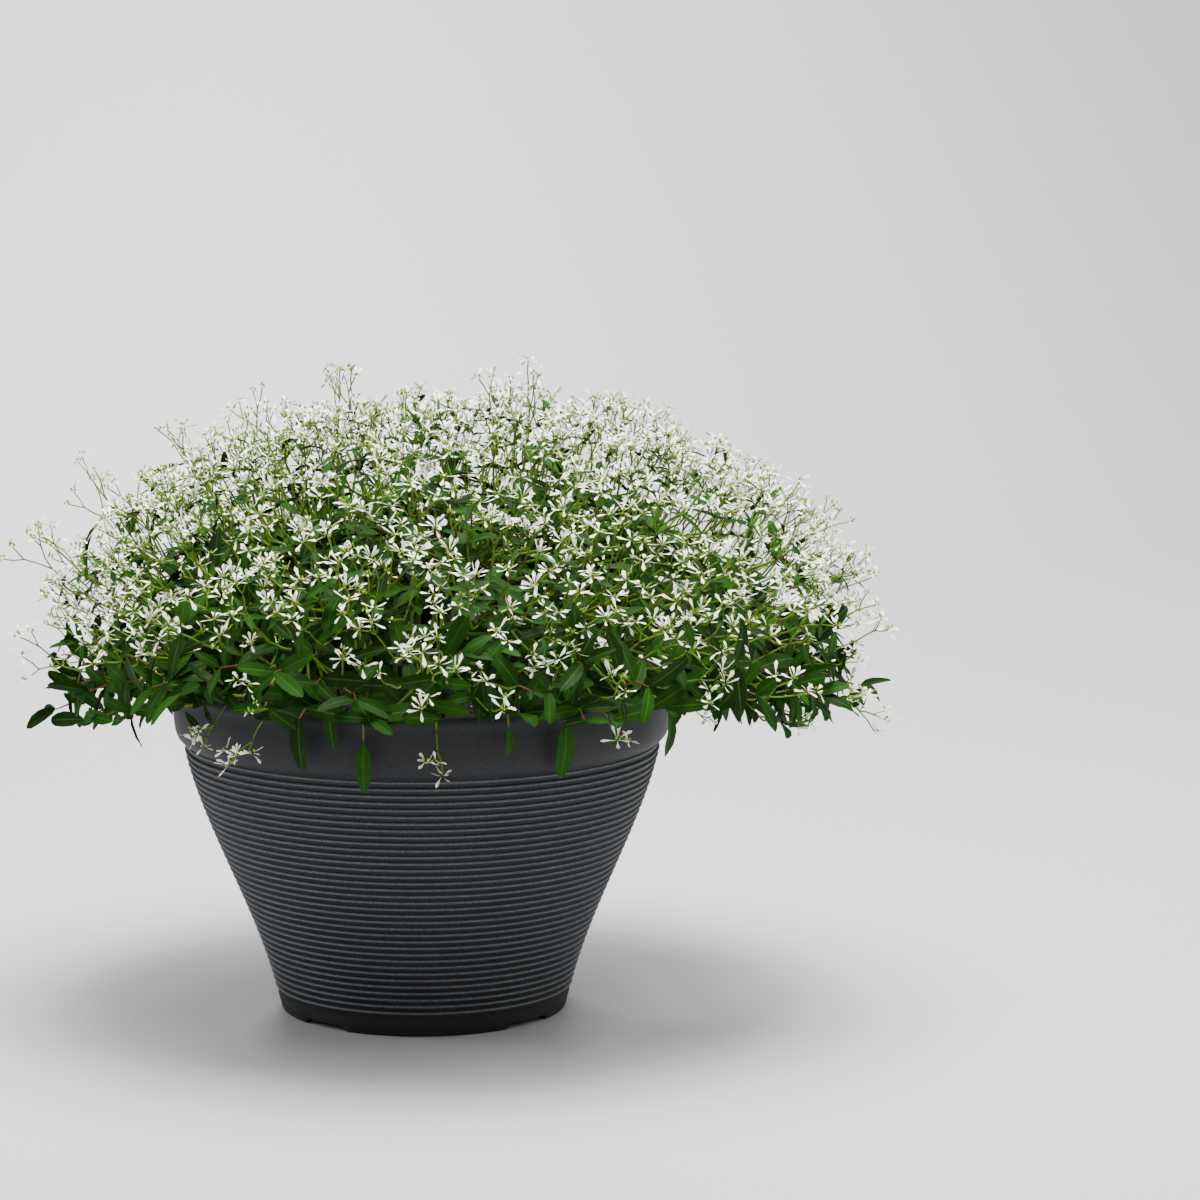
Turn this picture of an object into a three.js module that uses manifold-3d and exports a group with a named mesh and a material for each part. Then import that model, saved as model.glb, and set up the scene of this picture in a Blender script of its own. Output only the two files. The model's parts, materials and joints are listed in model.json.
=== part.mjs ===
// A potted euphorbia: a round, flared, finely ribbed resin pot, its filling of potting soil, and a broad
// mound of leafy flowering sprays. Each spray rises from its own hole in the soil and arches out to its place
// on the mound. Millimetres, +Z up. The origin is the middle of the pot's underside, and the front is -Y.
import * as THREE from "three";
import { mergeVertices } from "three/addons/utils/BufferGeometryUtils.js";
import Module from "manifold-3d";

const wasm = await Module();
wasm.setup();

// The pot
const POT_HEIGHT = 206;
const RIM_RADIUS = 152.5;
const FOOT_RADIUS = 88;
const WALL_FLARE = 57;
const FLARE_TOP = 162;
const FLARE_POWER = 1.06;
const STRAIGHT_SHARE = 0.6;
const WALL_THICKNESS = 4;
const FLOOR_THICKNESS = 8;
const FOOT_BAND_HEIGHT = 9;
const RIB_COUNT = 36;
const RIBS_FROM = 12;
const RIBS_TO = 168;
const RIB_DEPTH = 1.5;
const CREST_AT = 0.72;
const POT_SIDES = 20;
const NOTCH_ANGLES = [-41.5, 48.5, 138.5, 228.5];
const NOTCH_HEIGHT = 3.3;
const NOTCH_WIDTH = 36;
const NOTCH_SLANT = 3;
const CHANNEL_FROM = 40;
const DRAIN_RADIUS = 6;
const DRAIN_PLACE = 54;

// The soil
const SOIL_LEVEL = 181;
const SOIL_CROWN = 5;
const SOIL_LUMP = 1.3;
const FIT_GAP = 0.3;

// The mound, a superellipse turned about its own upright axis, which stands a little beside the pot's axis
const MOUND_X = 22;
const MOUND_MIDDLE = 215;
const MOUND_RADIUS = 277;
const MOUND_TOP = 385;
const MOUND_POWER = 2.3;
const SIDE_SAG = 24;

// The sprays stand in rings over the mound: degrees above its middle plane, how many, the degrees at which the
// first one stands, the radius of their cores and the leaves round each core.
const RINGS = [
  { rise: 80, count: 3, first: 20, core: 36, leaves: 8 },
  { rise: 59, count: 8, first: 10, core: 37, leaves: 7 },
  { rise: 34, count: 13, first: 3, core: 32, leaves: 7 },
  { rise: 9, count: 14, first: 13, core: 33, leaves: 8 },
];
const CORE_DEPTH = 42;
const CORE_RISE = 16;
const CORE_TAIL = 0.62;
const STEM_RADIUS = 1.5;
const TWIG_RADIUS = 1;
const STEM_ROOT = 20;
const STEM_STEPS = 3;
const ROOT_SPREAD = 0.44;
const STEM_KNEE = 44;
const STEM_RISE = 0.3;
const STEM_ARRIVAL = 34;
const STEM_OVERHANG = 44;
const BLOOMS = 4;
const BRACTS = 4;
const BLOOM_RADIUS = 24;
const BLOOM_THICKNESS = 1.8;
const BLOOM_HEART = 4;
const BLOOM_CUP = 0.12;
const BRACT_HALF_ANGLE = 0.27;
const BLOOM_SPREAD = [22, 36];
const BLOOM_LIFT = [24, 38];
const LEAF_LENGTH = 36;
const LEAF_WIDTH = 13;
const LEAF_THICKNESS = 2.4;
const LEAF_DROOP = 0.16;
const LEAF_REACH = [18, 34];
const LEAF_LIFT = [-8, 22];
const WAIST_AT = 0.45;
const WAIST_LIFT = 0.3;
const SHORT_LEAVES = [11, 6, 1];
const MOST_LEAVES = Math.max(...RINGS.map((ring) => ring.leaves));
const CLEARANCE = 0.35;
const TRIES = 14;
const SEED = 20817;

// Single leaves and flowers that hang over the rim: degrees round the pot from the front, towards +X;
// distance from the pot's axis; height of the hanging end.
const HANGING_LEAVES = [
  [32, 163, 166],
  [70, 166, 168],
  [45, 165, 180],
  [-27, 163, 174],
  [-13, 163, 164],
  [-80, 182, 166],
  [152, 165, 172],
  [205, 168, 172],
];
const HANGING_BLOOMS = [
  [-45, 172, 178],
  [2, 170, 174],
  [47, 176, 186],
  [82, 226, 182],
  [132, 180, 180],
  [236, 190, 182],
];

const radians = THREE.MathUtils.degToRad;
const vector = (x, y, z) => new THREE.Vector3(x, y, z);
const UP = vector(0, 0, 1);

// The same draws for the same seed, each from 0 to 1.
function seeded(seed) {
  let state = seed >>> 0;
  return () => {
    state = (state + 0x6d2b79f5) >>> 0;
    let t = Math.imul(state ^ (state >>> 15), state | 1);
    t ^= t + Math.imul(t ^ (t >>> 7), t | 61);
    return ((t ^ (t >>> 14)) >>> 0) / 4294967296;
  };
}

// A three.js geometry as a solid, with its shared vertices merged.
function solidOf(geometry) {
  const bare = geometry.clone();
  bare.deleteAttribute("normal");
  bare.deleteAttribute("uv");
  const merged = mergeVertices(bare, 1e-4);
  return new wasm.Manifold(
    new wasm.Mesh({
      numProp: 3,
      vertProperties: merged.attributes.position.array,
      triVerts: new Uint32Array(merged.index.array),
    }),
  );
}

// A closed solid from its corners and triangles, placed by a matrix.
function facets(corners, triangles, place = new THREE.Matrix4()) {
  const geometry = new THREE.BufferGeometry();
  const numbers = corners.flatMap((corner) => corner.toArray());
  geometry.setAttribute("position", new THREE.Float32BufferAttribute(numbers, 3));
  geometry.setIndex(triangles.flat());
  return solidOf(geometry.applyMatrix4(place));
}

// A solid as a named mesh.
function meshOf(name, solid, material) {
  const { vertProperties, triVerts } = solid.getMesh();
  const geometry = new THREE.BufferGeometry();
  geometry.setAttribute("position", new THREE.BufferAttribute(new Float32Array(vertProperties), 3));
  geometry.setIndex(new THREE.BufferAttribute(new Uint32Array(triVerts), 1));
  geometry.computeVertexNormals();
  const mesh = new THREE.Mesh(geometry, material);
  mesh.name = name;
  return mesh;
}

const joined = (solids) => solids.reduce((all, next) => all.add(next));

// The pot's wall flares in an S: steep at the foot, widest in the middle, steep again under the rim.
function wallRadius(z) {
  const t = Math.min(z / FLARE_TOP, 1) ** FLARE_POWER;
  const curve = 3 * t * t - 2 * t * t * t;
  return FOOT_RADIUS + WALL_FLARE * (STRAIGHT_SHARE * t + (1 - STRAIGHT_SHARE) * curve);
}

// The inside of the wall, from the rim down to the floor, as radius and height.
const innerWall = [
  [RIM_RADIUS - 6, POT_HEIGHT - 8],
  ...[SOIL_LEVEL, 150, 95, 40].map((z) => [wallRadius(z) - WALL_THICKNESS, z]),
  [wallRadius(FLOOR_THICKNESS) - WALL_THICKNESS - 1, FLOOR_THICKNESS],
];

function latheGeometry(profile) {
  const points = profile.map(([radius, z]) => new THREE.Vector2(radius, z));
  return new THREE.LatheGeometry(points, POT_SIDES).rotateX(Math.PI / 2);
}

function potSolid() {
  const pitch = (RIBS_TO - RIBS_FROM) / RIB_COUNT;
  const profile = [
    [0, 0],
    [FOOT_RADIUS - 1.5, 0],
    [FOOT_RADIUS, 1.5],
    [wallRadius(FOOT_BAND_HEIGHT) + 0.5, FOOT_BAND_HEIGHT],
  ];
  for (let rib = 0; rib < RIB_COUNT; rib++) {
    const groove = RIBS_FROM + rib * pitch;
    const crest = groove + CREST_AT * pitch;
    profile.push([wallRadius(groove) - RIB_DEPTH / 2, groove]);
    profile.push([wallRadius(crest) + RIB_DEPTH / 2, crest]);
  }
  profile.push(
    [wallRadius(RIBS_TO) - RIB_DEPTH / 2, RIBS_TO],
    [RIM_RADIUS - 3.5, RIBS_TO + 3],
    [RIM_RADIUS - 0.7, RIBS_TO + 9],
    [RIM_RADIUS, RIBS_TO + 20],
    [RIM_RADIUS - 0.6, POT_HEIGHT - 5],
    [RIM_RADIUS - 2.5, POT_HEIGHT],
    [RIM_RADIUS - 5.5, POT_HEIGHT - 1],
    ...innerWall,
    [0, FLOOR_THICKNESS],
  );
  let pot = solidOf(latheGeometry(profile));
  for (const angle of NOTCH_ANGLES) pot = pot.subtract(channelSolid(angle));
  return pot;
}

// A drainage channel under the floor: it opens in a notch through the foot and leads to a drain hole.
function channelSolid(angle) {
  const half = NOTCH_WIDTH / 2;
  const section = new THREE.Shape([
    new THREE.Vector2(-half - NOTCH_SLANT, -NOTCH_HEIGHT),
    new THREE.Vector2(half + NOTCH_SLANT, -NOTCH_HEIGHT),
    new THREE.Vector2(half - NOTCH_SLANT, NOTCH_HEIGHT),
    new THREE.Vector2(-half + NOTCH_SLANT, NOTCH_HEIGHT),
  ]);
  const channel = new THREE.ExtrudeGeometry(section, {
    depth: FOOT_RADIUS + 10 - CHANNEL_FROM,
    bevelEnabled: false,
  });
  channel.rotateX(Math.PI / 2).translate(0, -CHANNEL_FROM, 0);
  const drain = new THREE.CylinderGeometry(DRAIN_RADIUS, DRAIN_RADIUS, 4 * FLOOR_THICKNESS, 10);
  drain.rotateX(Math.PI / 2).translate(0, -DRAIN_PLACE, 0);
  const turn = radians(angle);
  return solidOf(channel.rotateZ(turn)).add(solidOf(drain.rotateZ(turn)));
}

// The soil fills the pot from its floor, and its top is a low, lumpy crown.
function soilSolid() {
  const wall = innerWall.slice(1).reverse();
  const edge = wallRadius(SOIL_LEVEL) - WALL_THICKNESS;
  const crown = [0.72, 0.36].map((part) => [part * edge, SOIL_LEVEL + SOIL_CROWN * (1 - part * part)]);
  const geometry = latheGeometry([
    [0, FLOOR_THICKNESS + FIT_GAP],
    ...wall.map(([radius, z]) => [radius - FIT_GAP, Math.max(z, FLOOR_THICKNESS + FIT_GAP)]),
    ...crown,
    [0, SOIL_LEVEL + SOIL_CROWN],
  ]);
  geometry.deleteAttribute("normal");
  geometry.deleteAttribute("uv");
  const merged = mergeVertices(geometry, 1e-3);
  const draw = seeded(SEED);
  const { position } = merged.attributes;
  for (let i = 0; i < position.count; i++) {
    const lump = between(draw, -SOIL_LUMP, SOIL_LUMP);
    if (position.getZ(i) > SOIL_LEVEL + 0.1) position.setZ(i, position.getZ(i) + lump);
  }
  return solidOf(merged);
}

// A point inside the mound's surface by a depth, and the way straight out of it. The mound hangs lower at its
// two sides than at its front and back.
function moundPlace(turn, rise, depth) {
  const radius = MOUND_RADIUS - depth;
  const height = MOUND_TOP - MOUND_MIDDLE - depth;
  const power = 2 / MOUND_POWER;
  const [across, up] = [Math.cos(rise) ** power, Math.sin(rise) ** power];
  const sag = SIDE_SAG * Math.cos(turn) ** 2 * Math.cos(rise) ** 3;
  const [x, y] = [radius * across * Math.cos(turn), radius * across * Math.sin(turn)];
  const point = vector(MOUND_X + x, y, MOUND_MIDDLE + height * up - sag);
  const level = across ** (MOUND_POWER - 1) / radius;
  const lift = up ** (MOUND_POWER - 1) / height;
  const out = vector(level * Math.cos(turn), level * Math.sin(turn), lift).normalize();
  return { point, out };
}

// A spray's stem stands upright in the soil, rises, and bends outwards to the spray's core.
function stemPoints(head, out) {
  const foot = vector(
    (head.x - MOUND_X) * ROOT_SPREAD,
    head.y * ROOT_SPREAD,
    SOIL_LEVEL + SOIL_CROWN * 0.6,
  );
  const knee = foot.clone().addScaledVector(UP, STEM_KNEE + STEM_RISE * Math.max(head.z - foot.z, 0));
  const bend = head.clone().addScaledVector(out, -STEM_ARRIVAL);
  bend.addScaledVector(UP, Math.max(0, STEM_OVERHANG * (1 - out.z)));
  const arch = new THREE.CubicBezierCurve3(foot.clone().addScaledVector(UP, 4), knee, bend, head);
  return [foot.clone().addScaledVector(UP, -STEM_ROOT), ...arch.getPoints(STEM_STEPS)];
}

// A stem or twig: a tapered bar along points, with straight stretches and flat ends.
function barSolid(points, radius, tip, sides) {
  const corners = [];
  const triangles = [];
  const last = points.length - 1;
  let side = null;
  points.forEach((point, i) => {
    const along = points[Math.min(i + 1, last)].clone().sub(points[Math.max(i - 1, 0)]).normalize();
    if (!side) side = Math.abs(along.z) > 0.9 ? vector(1, 0, 0) : UP.clone();
    side.addScaledVector(along, -side.dot(along)).normalize();
    const third = along.clone().cross(side);
    const size = radius + ((tip - radius) * i) / last;
    for (let k = 0; k < sides; k++) {
      const angle = (2 * Math.PI * k) / sides;
      const corner = point.clone().addScaledVector(side, size * Math.cos(angle));
      corners.push(corner.addScaledVector(third, size * Math.sin(angle)));
    }
  });
  for (let i = 0; i < last; i++)
    for (let k = 0; k < sides; k++) {
      const a = i * sides + k;
      const b = i * sides + ((k + 1) % sides);
      triangles.push([a, b, b + sides], [a, b + sides, a + sides]);
    }
  for (let k = 1; k < sides - 1; k++) {
    const end = last * sides;
    triangles.push([0, k + 1, k], [end, end + k, end + k + 1]);
  }
  return facets(corners, triangles);
}

// A thin closed blade over a star-shaped outline: both faces fan out from its middle, split alike.
function bladeSolid(outline, middle, thickness, place) {
  const lift = vector(0, 0, thickness / 2);
  const corners = [...outline, middle.clone().add(lift), middle.clone().sub(lift)];
  const count = outline.length;
  const triangles = [];
  for (let i = 0; i < count; i++) {
    const next = (i + 1) % count;
    triangles.push([i, next, count], [next, i, count + 1]);
  }
  return facets(corners, triangles, place);
}

// A leaf runs along its own +X, is widest before its middle, and bends down towards its tip.
function leafSolid(place, size, swell) {
  const length = LEAF_LENGTH * size + swell;
  const width = LEAF_WIDTH * size + 2 * swell;
  const shape = [
    [0, 0],
    [0.27, -0.46],
    [0.66, -0.42],
    [1, 0],
    [0.66, 0.42],
    [0.27, 0.46],
  ];
  const droop = (share) => -LEAF_DROOP * length * share * share;
  const outline = shape.map(([x, y]) => vector(x * length, y * width, droop(x) + Math.abs(y) * 2));
  const middle = vector(0.46 * length, 0, droop(0.46));
  return bladeSolid(outline, middle, LEAF_THICKNESS + 2 * swell, place);
}

// A flower head, larger than life, on its own twig: four white bracts of unequal length, each narrow at its
// foot and broad at its end. The bracts and the three-sided twig under them are one closed surface.
function bloomSolid(place, root, lengths, swell) {
  const corners = [];
  const count = lengths.length;
  for (let i = 0; i < count; i++) {
    const middle = (2 * Math.PI * i) / count;
    const reach = BLOOM_RADIUS * lengths[i] + swell;
    const half = BRACT_HALF_ANGLE + swell / BLOOM_RADIUS;
    const notch = middle - Math.PI / count;
    const cup = -BLOOM_CUP * reach;
    corners.push(vector(BLOOM_HEART * Math.cos(notch), BLOOM_HEART * Math.sin(notch), 0));
    corners.push(vector(reach * Math.cos(middle - half), reach * Math.sin(middle - half), cup));
    corners.push(vector(reach * Math.cos(middle + half), reach * Math.sin(middle + half), cup));
  }
  const rim = corners.length;
  const top = rim;
  corners.push(vector(0, 0, BLOOM_THICKNESS / 2 + swell));
  const twig = TWIG_RADIUS + swell;
  const ring = [0, 1, 2].map((k) => {
    const angle = (2 * Math.PI * k) / 3;
    return vector(twig * Math.cos(angle), twig * Math.sin(angle), 0);
  });
  const localRoot = root.clone().applyMatrix4(place.clone().invert());
  corners.push(...ring.map((point) => point.clone().setZ(-BLOOM_THICKNESS / 2 - swell)));
  corners.push(...ring.map((point) => point.clone().add(localRoot)));
  const under = rim + 1;
  const triangles = [[under + 3, under + 5, under + 4]];
  for (let i = 0; i < rim; i++) triangles.push([i, (i + 1) % rim, top]);
  // Each outline edge of the underside meets the ring corner nearest in angle, and three more triangles
  // close it.
  const nearest = corners.slice(0, rim).map((corner) => {
    const angle = (Math.atan2(corner.y, corner.x) + 2 * Math.PI) % (2 * Math.PI);
    return Math.round(angle / ((2 * Math.PI) / 3)) % 3;
  });
  for (let i = 0; i < rim; i++) {
    const next = (i + 1) % rim;
    triangles.push([next, i, under + nearest[i]]);
    if (nearest[next] !== nearest[i]) triangles.push([next, under + nearest[i], under + nearest[next]]);
  }
  for (let k = 0; k < 3; k++) {
    const next = (k + 1) % 3;
    triangles.push([under + k, under + 3 + k, under + next], [under + next, under + 3 + k, under + 3 + next]);
  }
  return facets(corners, triangles, place);
}

// The three outer corners of one leaf of a spray's core: its waist, its tip and its waist again.
function armOutline(core, arm, swell) {
  const along = vector(Math.cos(arm.turn), Math.sin(arm.turn), 0);
  const across = vector(-along.y, along.x, 0);
  const half = LEAF_WIDTH / 2 + swell;
  const waist = core + WAIST_AT * (arm.reach - core);
  const edge = WAIST_LIFT * arm.lift + 1;
  const at = (radius, side, z) => along.clone().multiplyScalar(radius).addScaledVector(across, side).setZ(z);
  return [at(waist, -half, edge), at(arm.reach + swell, 0, arm.lift), at(waist, half, edge)];
}

// A point of the core's edge.
const edgePoint = (core, turn) => vector(core * Math.cos(turn), core * Math.sin(turn), 0);

function armSolid({ place, ring }, arm, swell) {
  const half = Math.PI / ring.leaves;
  const outline = [
    edgePoint(ring.core, arm.turn - half),
    ...armOutline(ring.core, arm, swell),
    edgePoint(ring.core, arm.turn + half),
  ];
  return bladeSolid(outline, edgePoint(ring.core, arm.turn), LEAF_THICKNESS + 2 * swell, place);
}

// A spray's core is the thick of its foliage: a faceted lens that tapers down along the stem, with leaves
// standing out all round its edge.
function coreSolid({ place, ring, stem, arms }) {
  const tail = new THREE.CatmullRomCurve3(stem).getPoint(CORE_TAIL).applyMatrix4(place.clone().invert());
  const corners = [vector(0, 0, CORE_RISE), tail];
  const triangles = [];
  const cornersPerArm = 6;
  const count = arms.length;
  arms.forEach((arm, k) => {
    const before = arms[(k + count - 1) % count].turn - (k === 0 ? 2 * Math.PI : 0);
    const thick = vector(0, 0, LEAF_THICKNESS / 2);
    const middle = edgePoint(ring.core, arm.turn);
    corners.push(edgePoint(ring.core, (before + arm.turn) / 2), ...armOutline(ring.core, arm, 0));
    corners.push(middle.clone().add(thick), middle.clone().sub(thick));
    const notch = 2 + k * cornersPerArm;
    const nextNotch = 2 + ((k + 1) % count) * cornersPerArm;
    const [left, tip, right, above, below] = [1, 2, 3, 4, 5].map((i) => notch + i);
    triangles.push([0, notch, above], [0, above, nextNotch], [1, below, notch], [1, nextNotch, below]);
    const edge = [notch, left, tip, right, nextNotch];
    for (let i = 0; i < 4; i++) triangles.push([above, edge[i], edge[i + 1]], [below, edge[i + 1], edge[i]]);
  });
  return facets(corners, triangles, place);
}

// The matrix that puts a piece at a point with its +X along one direction and its +Z as near as can be to
// another.
function placed(point, along, up) {
  const x = along.clone().normalize();
  const y = up.clone().cross(x).normalize();
  return new THREE.Matrix4().makeBasis(x, y, x.clone().cross(y)).setPosition(point);
}

// Two directions at right angles to one another and to the way out of the mound.
function tangents(out) {
  const level = vector(-out.y, out.x, 0);
  if (level.length() < 0.05) level.set(1, 0, 0);
  level.normalize();
  return [level, out.clone().cross(level)];
}

// Everything made so far, by which later pieces are kept clear of other sprays, the pot and the soil.
const made = [];

function keep(owner, solid) {
  made.push({ owner, solid, box: solid.boundingBox() });
}

function isClear(owner, solid) {
  const { min, max } = solid.boundingBox();
  const isNear = ({ box }) => [0, 1, 2].every((i) => min[i] < box.max[i] && max[i] > box.min[i]);
  const others = made.filter((other) => other.owner !== owner && isNear(other));
  return !others.some((other) => solid.intersect(other.solid).volume() > 0);
}

// Takes the first proposal whose swollen form stays clear of all that isn't the spray's own, if any does.
function grow(spray, propose) {
  for (let attempt = 0; attempt < TRIES; attempt++) {
    const proposal = propose();
    if (proposal.swollen.every((solid) => isClear(spray.name, solid))) {
      proposal.pieces.forEach((solid) => keep(spray.name, solid));
      spray.solids.push(...proposal.pieces);
      return true;
    }
  }
  return false;
}

const between = (draw, low, high) => low + (high - low) * draw();

// A direction in the spray's own plane, at an angle from its level one.
function sideOf(spray, angle) {
  const { level, slope } = spray;
  return level.clone().multiplyScalar(Math.cos(angle)).addScaledVector(slope, Math.sin(angle));
}

// A twig from the spray's core with one flower head at its end.
function bloomProposal(spray, turn) {
  const { draw, head, out } = spray;
  const side = sideOf(spray, turn + between(draw, -0.35, 0.35));
  const spread = between(draw, ...BLOOM_SPREAD);
  const tip = head.clone().addScaledVector(side, spread).addScaledVector(out, between(draw, ...BLOOM_LIFT));
  const face = out.clone().addScaledVector(side, 0.35 * draw()).addScaledVector(UP, 0.2).normalize();
  const place = placed(tip, side.applyAxisAngle(out, Math.PI * draw()), face);
  const root = head.clone().lerp(tip, 0.25).addScaledVector(out, -2);
  const lengths = Array.from({ length: BRACTS }, () => between(draw, 0.76, 1));
  return {
    swollen: [bloomSolid(place, root, lengths, CLEARANCE)],
    pieces: [bloomSolid(place, root, lengths, 0)],
  };
}

// A leaf at the edge of the spray's core. One that finds no room stays short.
function growArm(spray, k) {
  const { draw, ring } = spray;
  const step = (2 * Math.PI) / ring.leaves;
  const arm = {};
  const swollen = () => armSolid(spray, arm, CLEARANCE);
  const found = grow(spray, () => {
    arm.turn = k * step + step * between(draw, -0.1, 0.1);
    arm.reach = ring.core + between(draw, ...LEAF_REACH);
    arm.lift = between(draw, ...LEAF_LIFT);
    return { swollen: [swollen()], pieces: [] };
  });
  const shorter = [...SHORT_LEAVES];
  while (!found && shorter.length && !isClear(spray.name, swollen()))
    Object.assign(arm, { reach: ring.core + shorter.shift(), lift: 0 });
  keep(spray.name, armSolid(spray, arm, 0));
  spray.arms.push(arm);
}

// A trailing twig that leaves a low spray's core and hangs down outside the rim, with a leaf or a flower
// head.
function trailProposal(spray, [degrees, reach, height], kind) {
  const { draw, head } = spray;
  const turn = radians(degrees) + between(draw, -0.03, 0.03);
  const outward = vector(Math.sin(turn), -Math.cos(turn), 0);
  const across = vector(Math.cos(turn), Math.sin(turn), 0);
  const hang = kind === "leaf" ? LEAF_LENGTH * 0.95 : BLOOM_RADIUS * 0.8;
  const end = outward.clone().multiplyScalar(reach + between(draw, -2, 2)).setZ(height + hang);
  const bend = head.clone().lerp(end, 0.6).addScaledVector(UP, between(draw, 4, 20));
  const path = [head, bend, end];
  const thick = TWIG_RADIUS + 2 * CLEARANCE;
  const swollen = [barSolid(path, thick, thick, 3)];
  const pieces = [barSolid(path, TWIG_RADIUS, TWIG_RADIUS, 3)];
  const lean = across.clone().multiplyScalar(between(draw, -0.3, 0.3));
  if (kind === "leaf") {
    const place = placed(end.clone().addScaledVector(UP, 2), vector(0, 0, -1).add(lean), outward);
    swollen.push(leafSolid(place, 1, CLEARANCE));
    pieces.push(leafSolid(place, 1, 0));
  } else {
    const face = outward.clone().addScaledVector(UP, 0.4).add(lean).normalize();
    const tip = end.clone().addScaledVector(face, 6);
    const place = placed(tip, across.applyAxisAngle(outward, Math.PI * draw()), face);
    const root = end.clone().lerp(bend, 0.04);
    const lengths = Array.from({ length: BRACTS }, () => between(draw, 0.7, 0.95));
    swollen.push(bloomSolid(place, root, lengths, CLEARANCE));
    pieces.push(bloomSolid(place, root, lengths, 0));
  }
  return { swollen, pieces };
}

// Each hanging leaf or flower grows from the nearest of the low sprays.
function nearestLow([degrees, reach]) {
  const turn = radians(degrees);
  const place = vector(reach * Math.sin(turn), -reach * Math.cos(turn), 0);
  const distance = (spray) => Math.hypot(spray.head.x - place.x, spray.head.y - place.y);
  const low = sprays.filter((spray) => spray.ring === RINGS.at(-1));
  return low.reduce((best, spray) => (distance(spray) < distance(best) ? spray : best));
}

const pot = potSolid();
let soil = soilSolid();
keep("pot", pot);

const places = RINGS.flatMap((ring) => {
  const turnOf = (i) => radians(ring.first + (360 * i) / ring.count);
  return Array.from({ length: ring.count }, (_, i) => ({ ring, turn: turnOf(i) }));
});
const sprays = places.map(({ ring, turn }, i) => {
  const { point: head, out } = moundPlace(turn, radians(ring.rise), CORE_DEPTH);
  const [level, slope] = tangents(out);
  return {
    name: `spray_${String(i + 1).padStart(2, "0")}`,
    draw: seeded(SEED + 1 + i),
    place: placed(head, level, out),
    stem: stemPoints(head, out),
    arms: [],
    solids: [],
    ...{ ring, head, out, level, slope },
  };
});

for (const { name, stem, solids } of sprays) {
  const solid = barSolid(stem, STEM_RADIUS, STEM_RADIUS * 0.8, 3);
  keep(name, solid);
  solids.push(solid);
  const bottom = stem[0].clone().addScaledVector(UP, -FIT_GAP);
  const mouth = stem[1].clone().addScaledVector(UP, 2 * SOIL_CROWN);
  const size = STEM_RADIUS + 2 * FIT_GAP;
  soil = soil.subtract(barSolid([bottom, mouth], size, size, 3));
}
keep("soil", soil);
for (const spray of sprays) {
  const { leaves, core } = spray.ring;
  const step = (2 * Math.PI) / leaves;
  const arms = Array.from({ length: leaves }, (_, k) => ({ turn: k * step, reach: core + 1, lift: 0 }));
  keep(spray.name, coreSolid({ ...spray, arms }));
}

// Rounds run over all sprays, so that none crowds out its neighbours.
for (let round = 0; round < MOST_LEAVES; round++)
  for (const spray of sprays) if (round < spray.ring.leaves) growArm(spray, round);
for (const spray of sprays) {
  const core = coreSolid(spray);
  keep(spray.name, core);
  spray.solids.push(core);
}
for (const leaf of HANGING_LEAVES) {
  const spray = nearestLow(leaf);
  grow(spray, () => trailProposal(spray, leaf, "leaf"));
}
for (const bloom of HANGING_BLOOMS) {
  const spray = nearestLow(bloom);
  grow(spray, () => trailProposal(spray, bloom, "bloom"));
}
for (let round = 0; round < BLOOMS; round++)
  for (const spray of sprays) grow(spray, () => bloomProposal(spray, (2 * Math.PI * round) / BLOOMS));

// The finished plant in its pot
const potMaterial = new THREE.MeshStandardMaterial({ color: 0x43464b, roughness: 0.7, metalness: 0 });
const soilMaterial = new THREE.MeshStandardMaterial({ color: 0x2e241c, roughness: 0.95, metalness: 0 });
const sprayMaterial = new THREE.MeshStandardMaterial({ color: 0xa9bd8f, roughness: 0.6, metalness: 0 });

const plant = new THREE.Group();
plant.add(meshOf("pot", pot, potMaterial), meshOf("soil", soil, soilMaterial));
for (const spray of sprays) plant.add(meshOf(spray.name, joined(spray.solids), sprayMaterial));

export default plant;
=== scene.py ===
"""A potted euphorbia in bloom, photographed in a plain pale studio.

The sections follow the object as it is put together: the studio, the moulded pot, the soil in it, then the
plant, which is its leaves, its flower heads and the sprays of stems that carry them. Metres, +Z up.
"""

import json
import math
import random

import bpy
import bmesh
from mathutils import Matrix, Vector, noise

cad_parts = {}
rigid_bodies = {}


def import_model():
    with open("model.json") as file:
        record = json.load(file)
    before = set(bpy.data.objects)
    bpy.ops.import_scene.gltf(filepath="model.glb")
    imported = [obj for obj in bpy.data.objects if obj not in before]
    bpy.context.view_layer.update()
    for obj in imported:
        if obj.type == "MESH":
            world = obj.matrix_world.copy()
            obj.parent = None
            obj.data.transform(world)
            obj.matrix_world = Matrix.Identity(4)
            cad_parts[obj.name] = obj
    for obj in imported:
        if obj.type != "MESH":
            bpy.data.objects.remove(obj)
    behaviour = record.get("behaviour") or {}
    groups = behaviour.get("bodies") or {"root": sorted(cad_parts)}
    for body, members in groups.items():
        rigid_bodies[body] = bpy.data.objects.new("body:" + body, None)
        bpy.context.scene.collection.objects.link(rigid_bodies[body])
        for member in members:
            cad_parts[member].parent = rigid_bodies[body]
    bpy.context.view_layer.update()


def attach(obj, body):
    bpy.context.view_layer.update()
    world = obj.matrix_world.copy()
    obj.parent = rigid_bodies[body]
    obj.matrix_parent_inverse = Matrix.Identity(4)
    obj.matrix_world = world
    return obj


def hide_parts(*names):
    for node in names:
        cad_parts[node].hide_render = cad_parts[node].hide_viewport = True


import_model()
MM = 0.001


# Studio
# A seamless pale grey paper sweep under soft light from above and both sides, and a long lens that looks
# down on the plant from a little above it. None of it belongs to the object.

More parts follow.
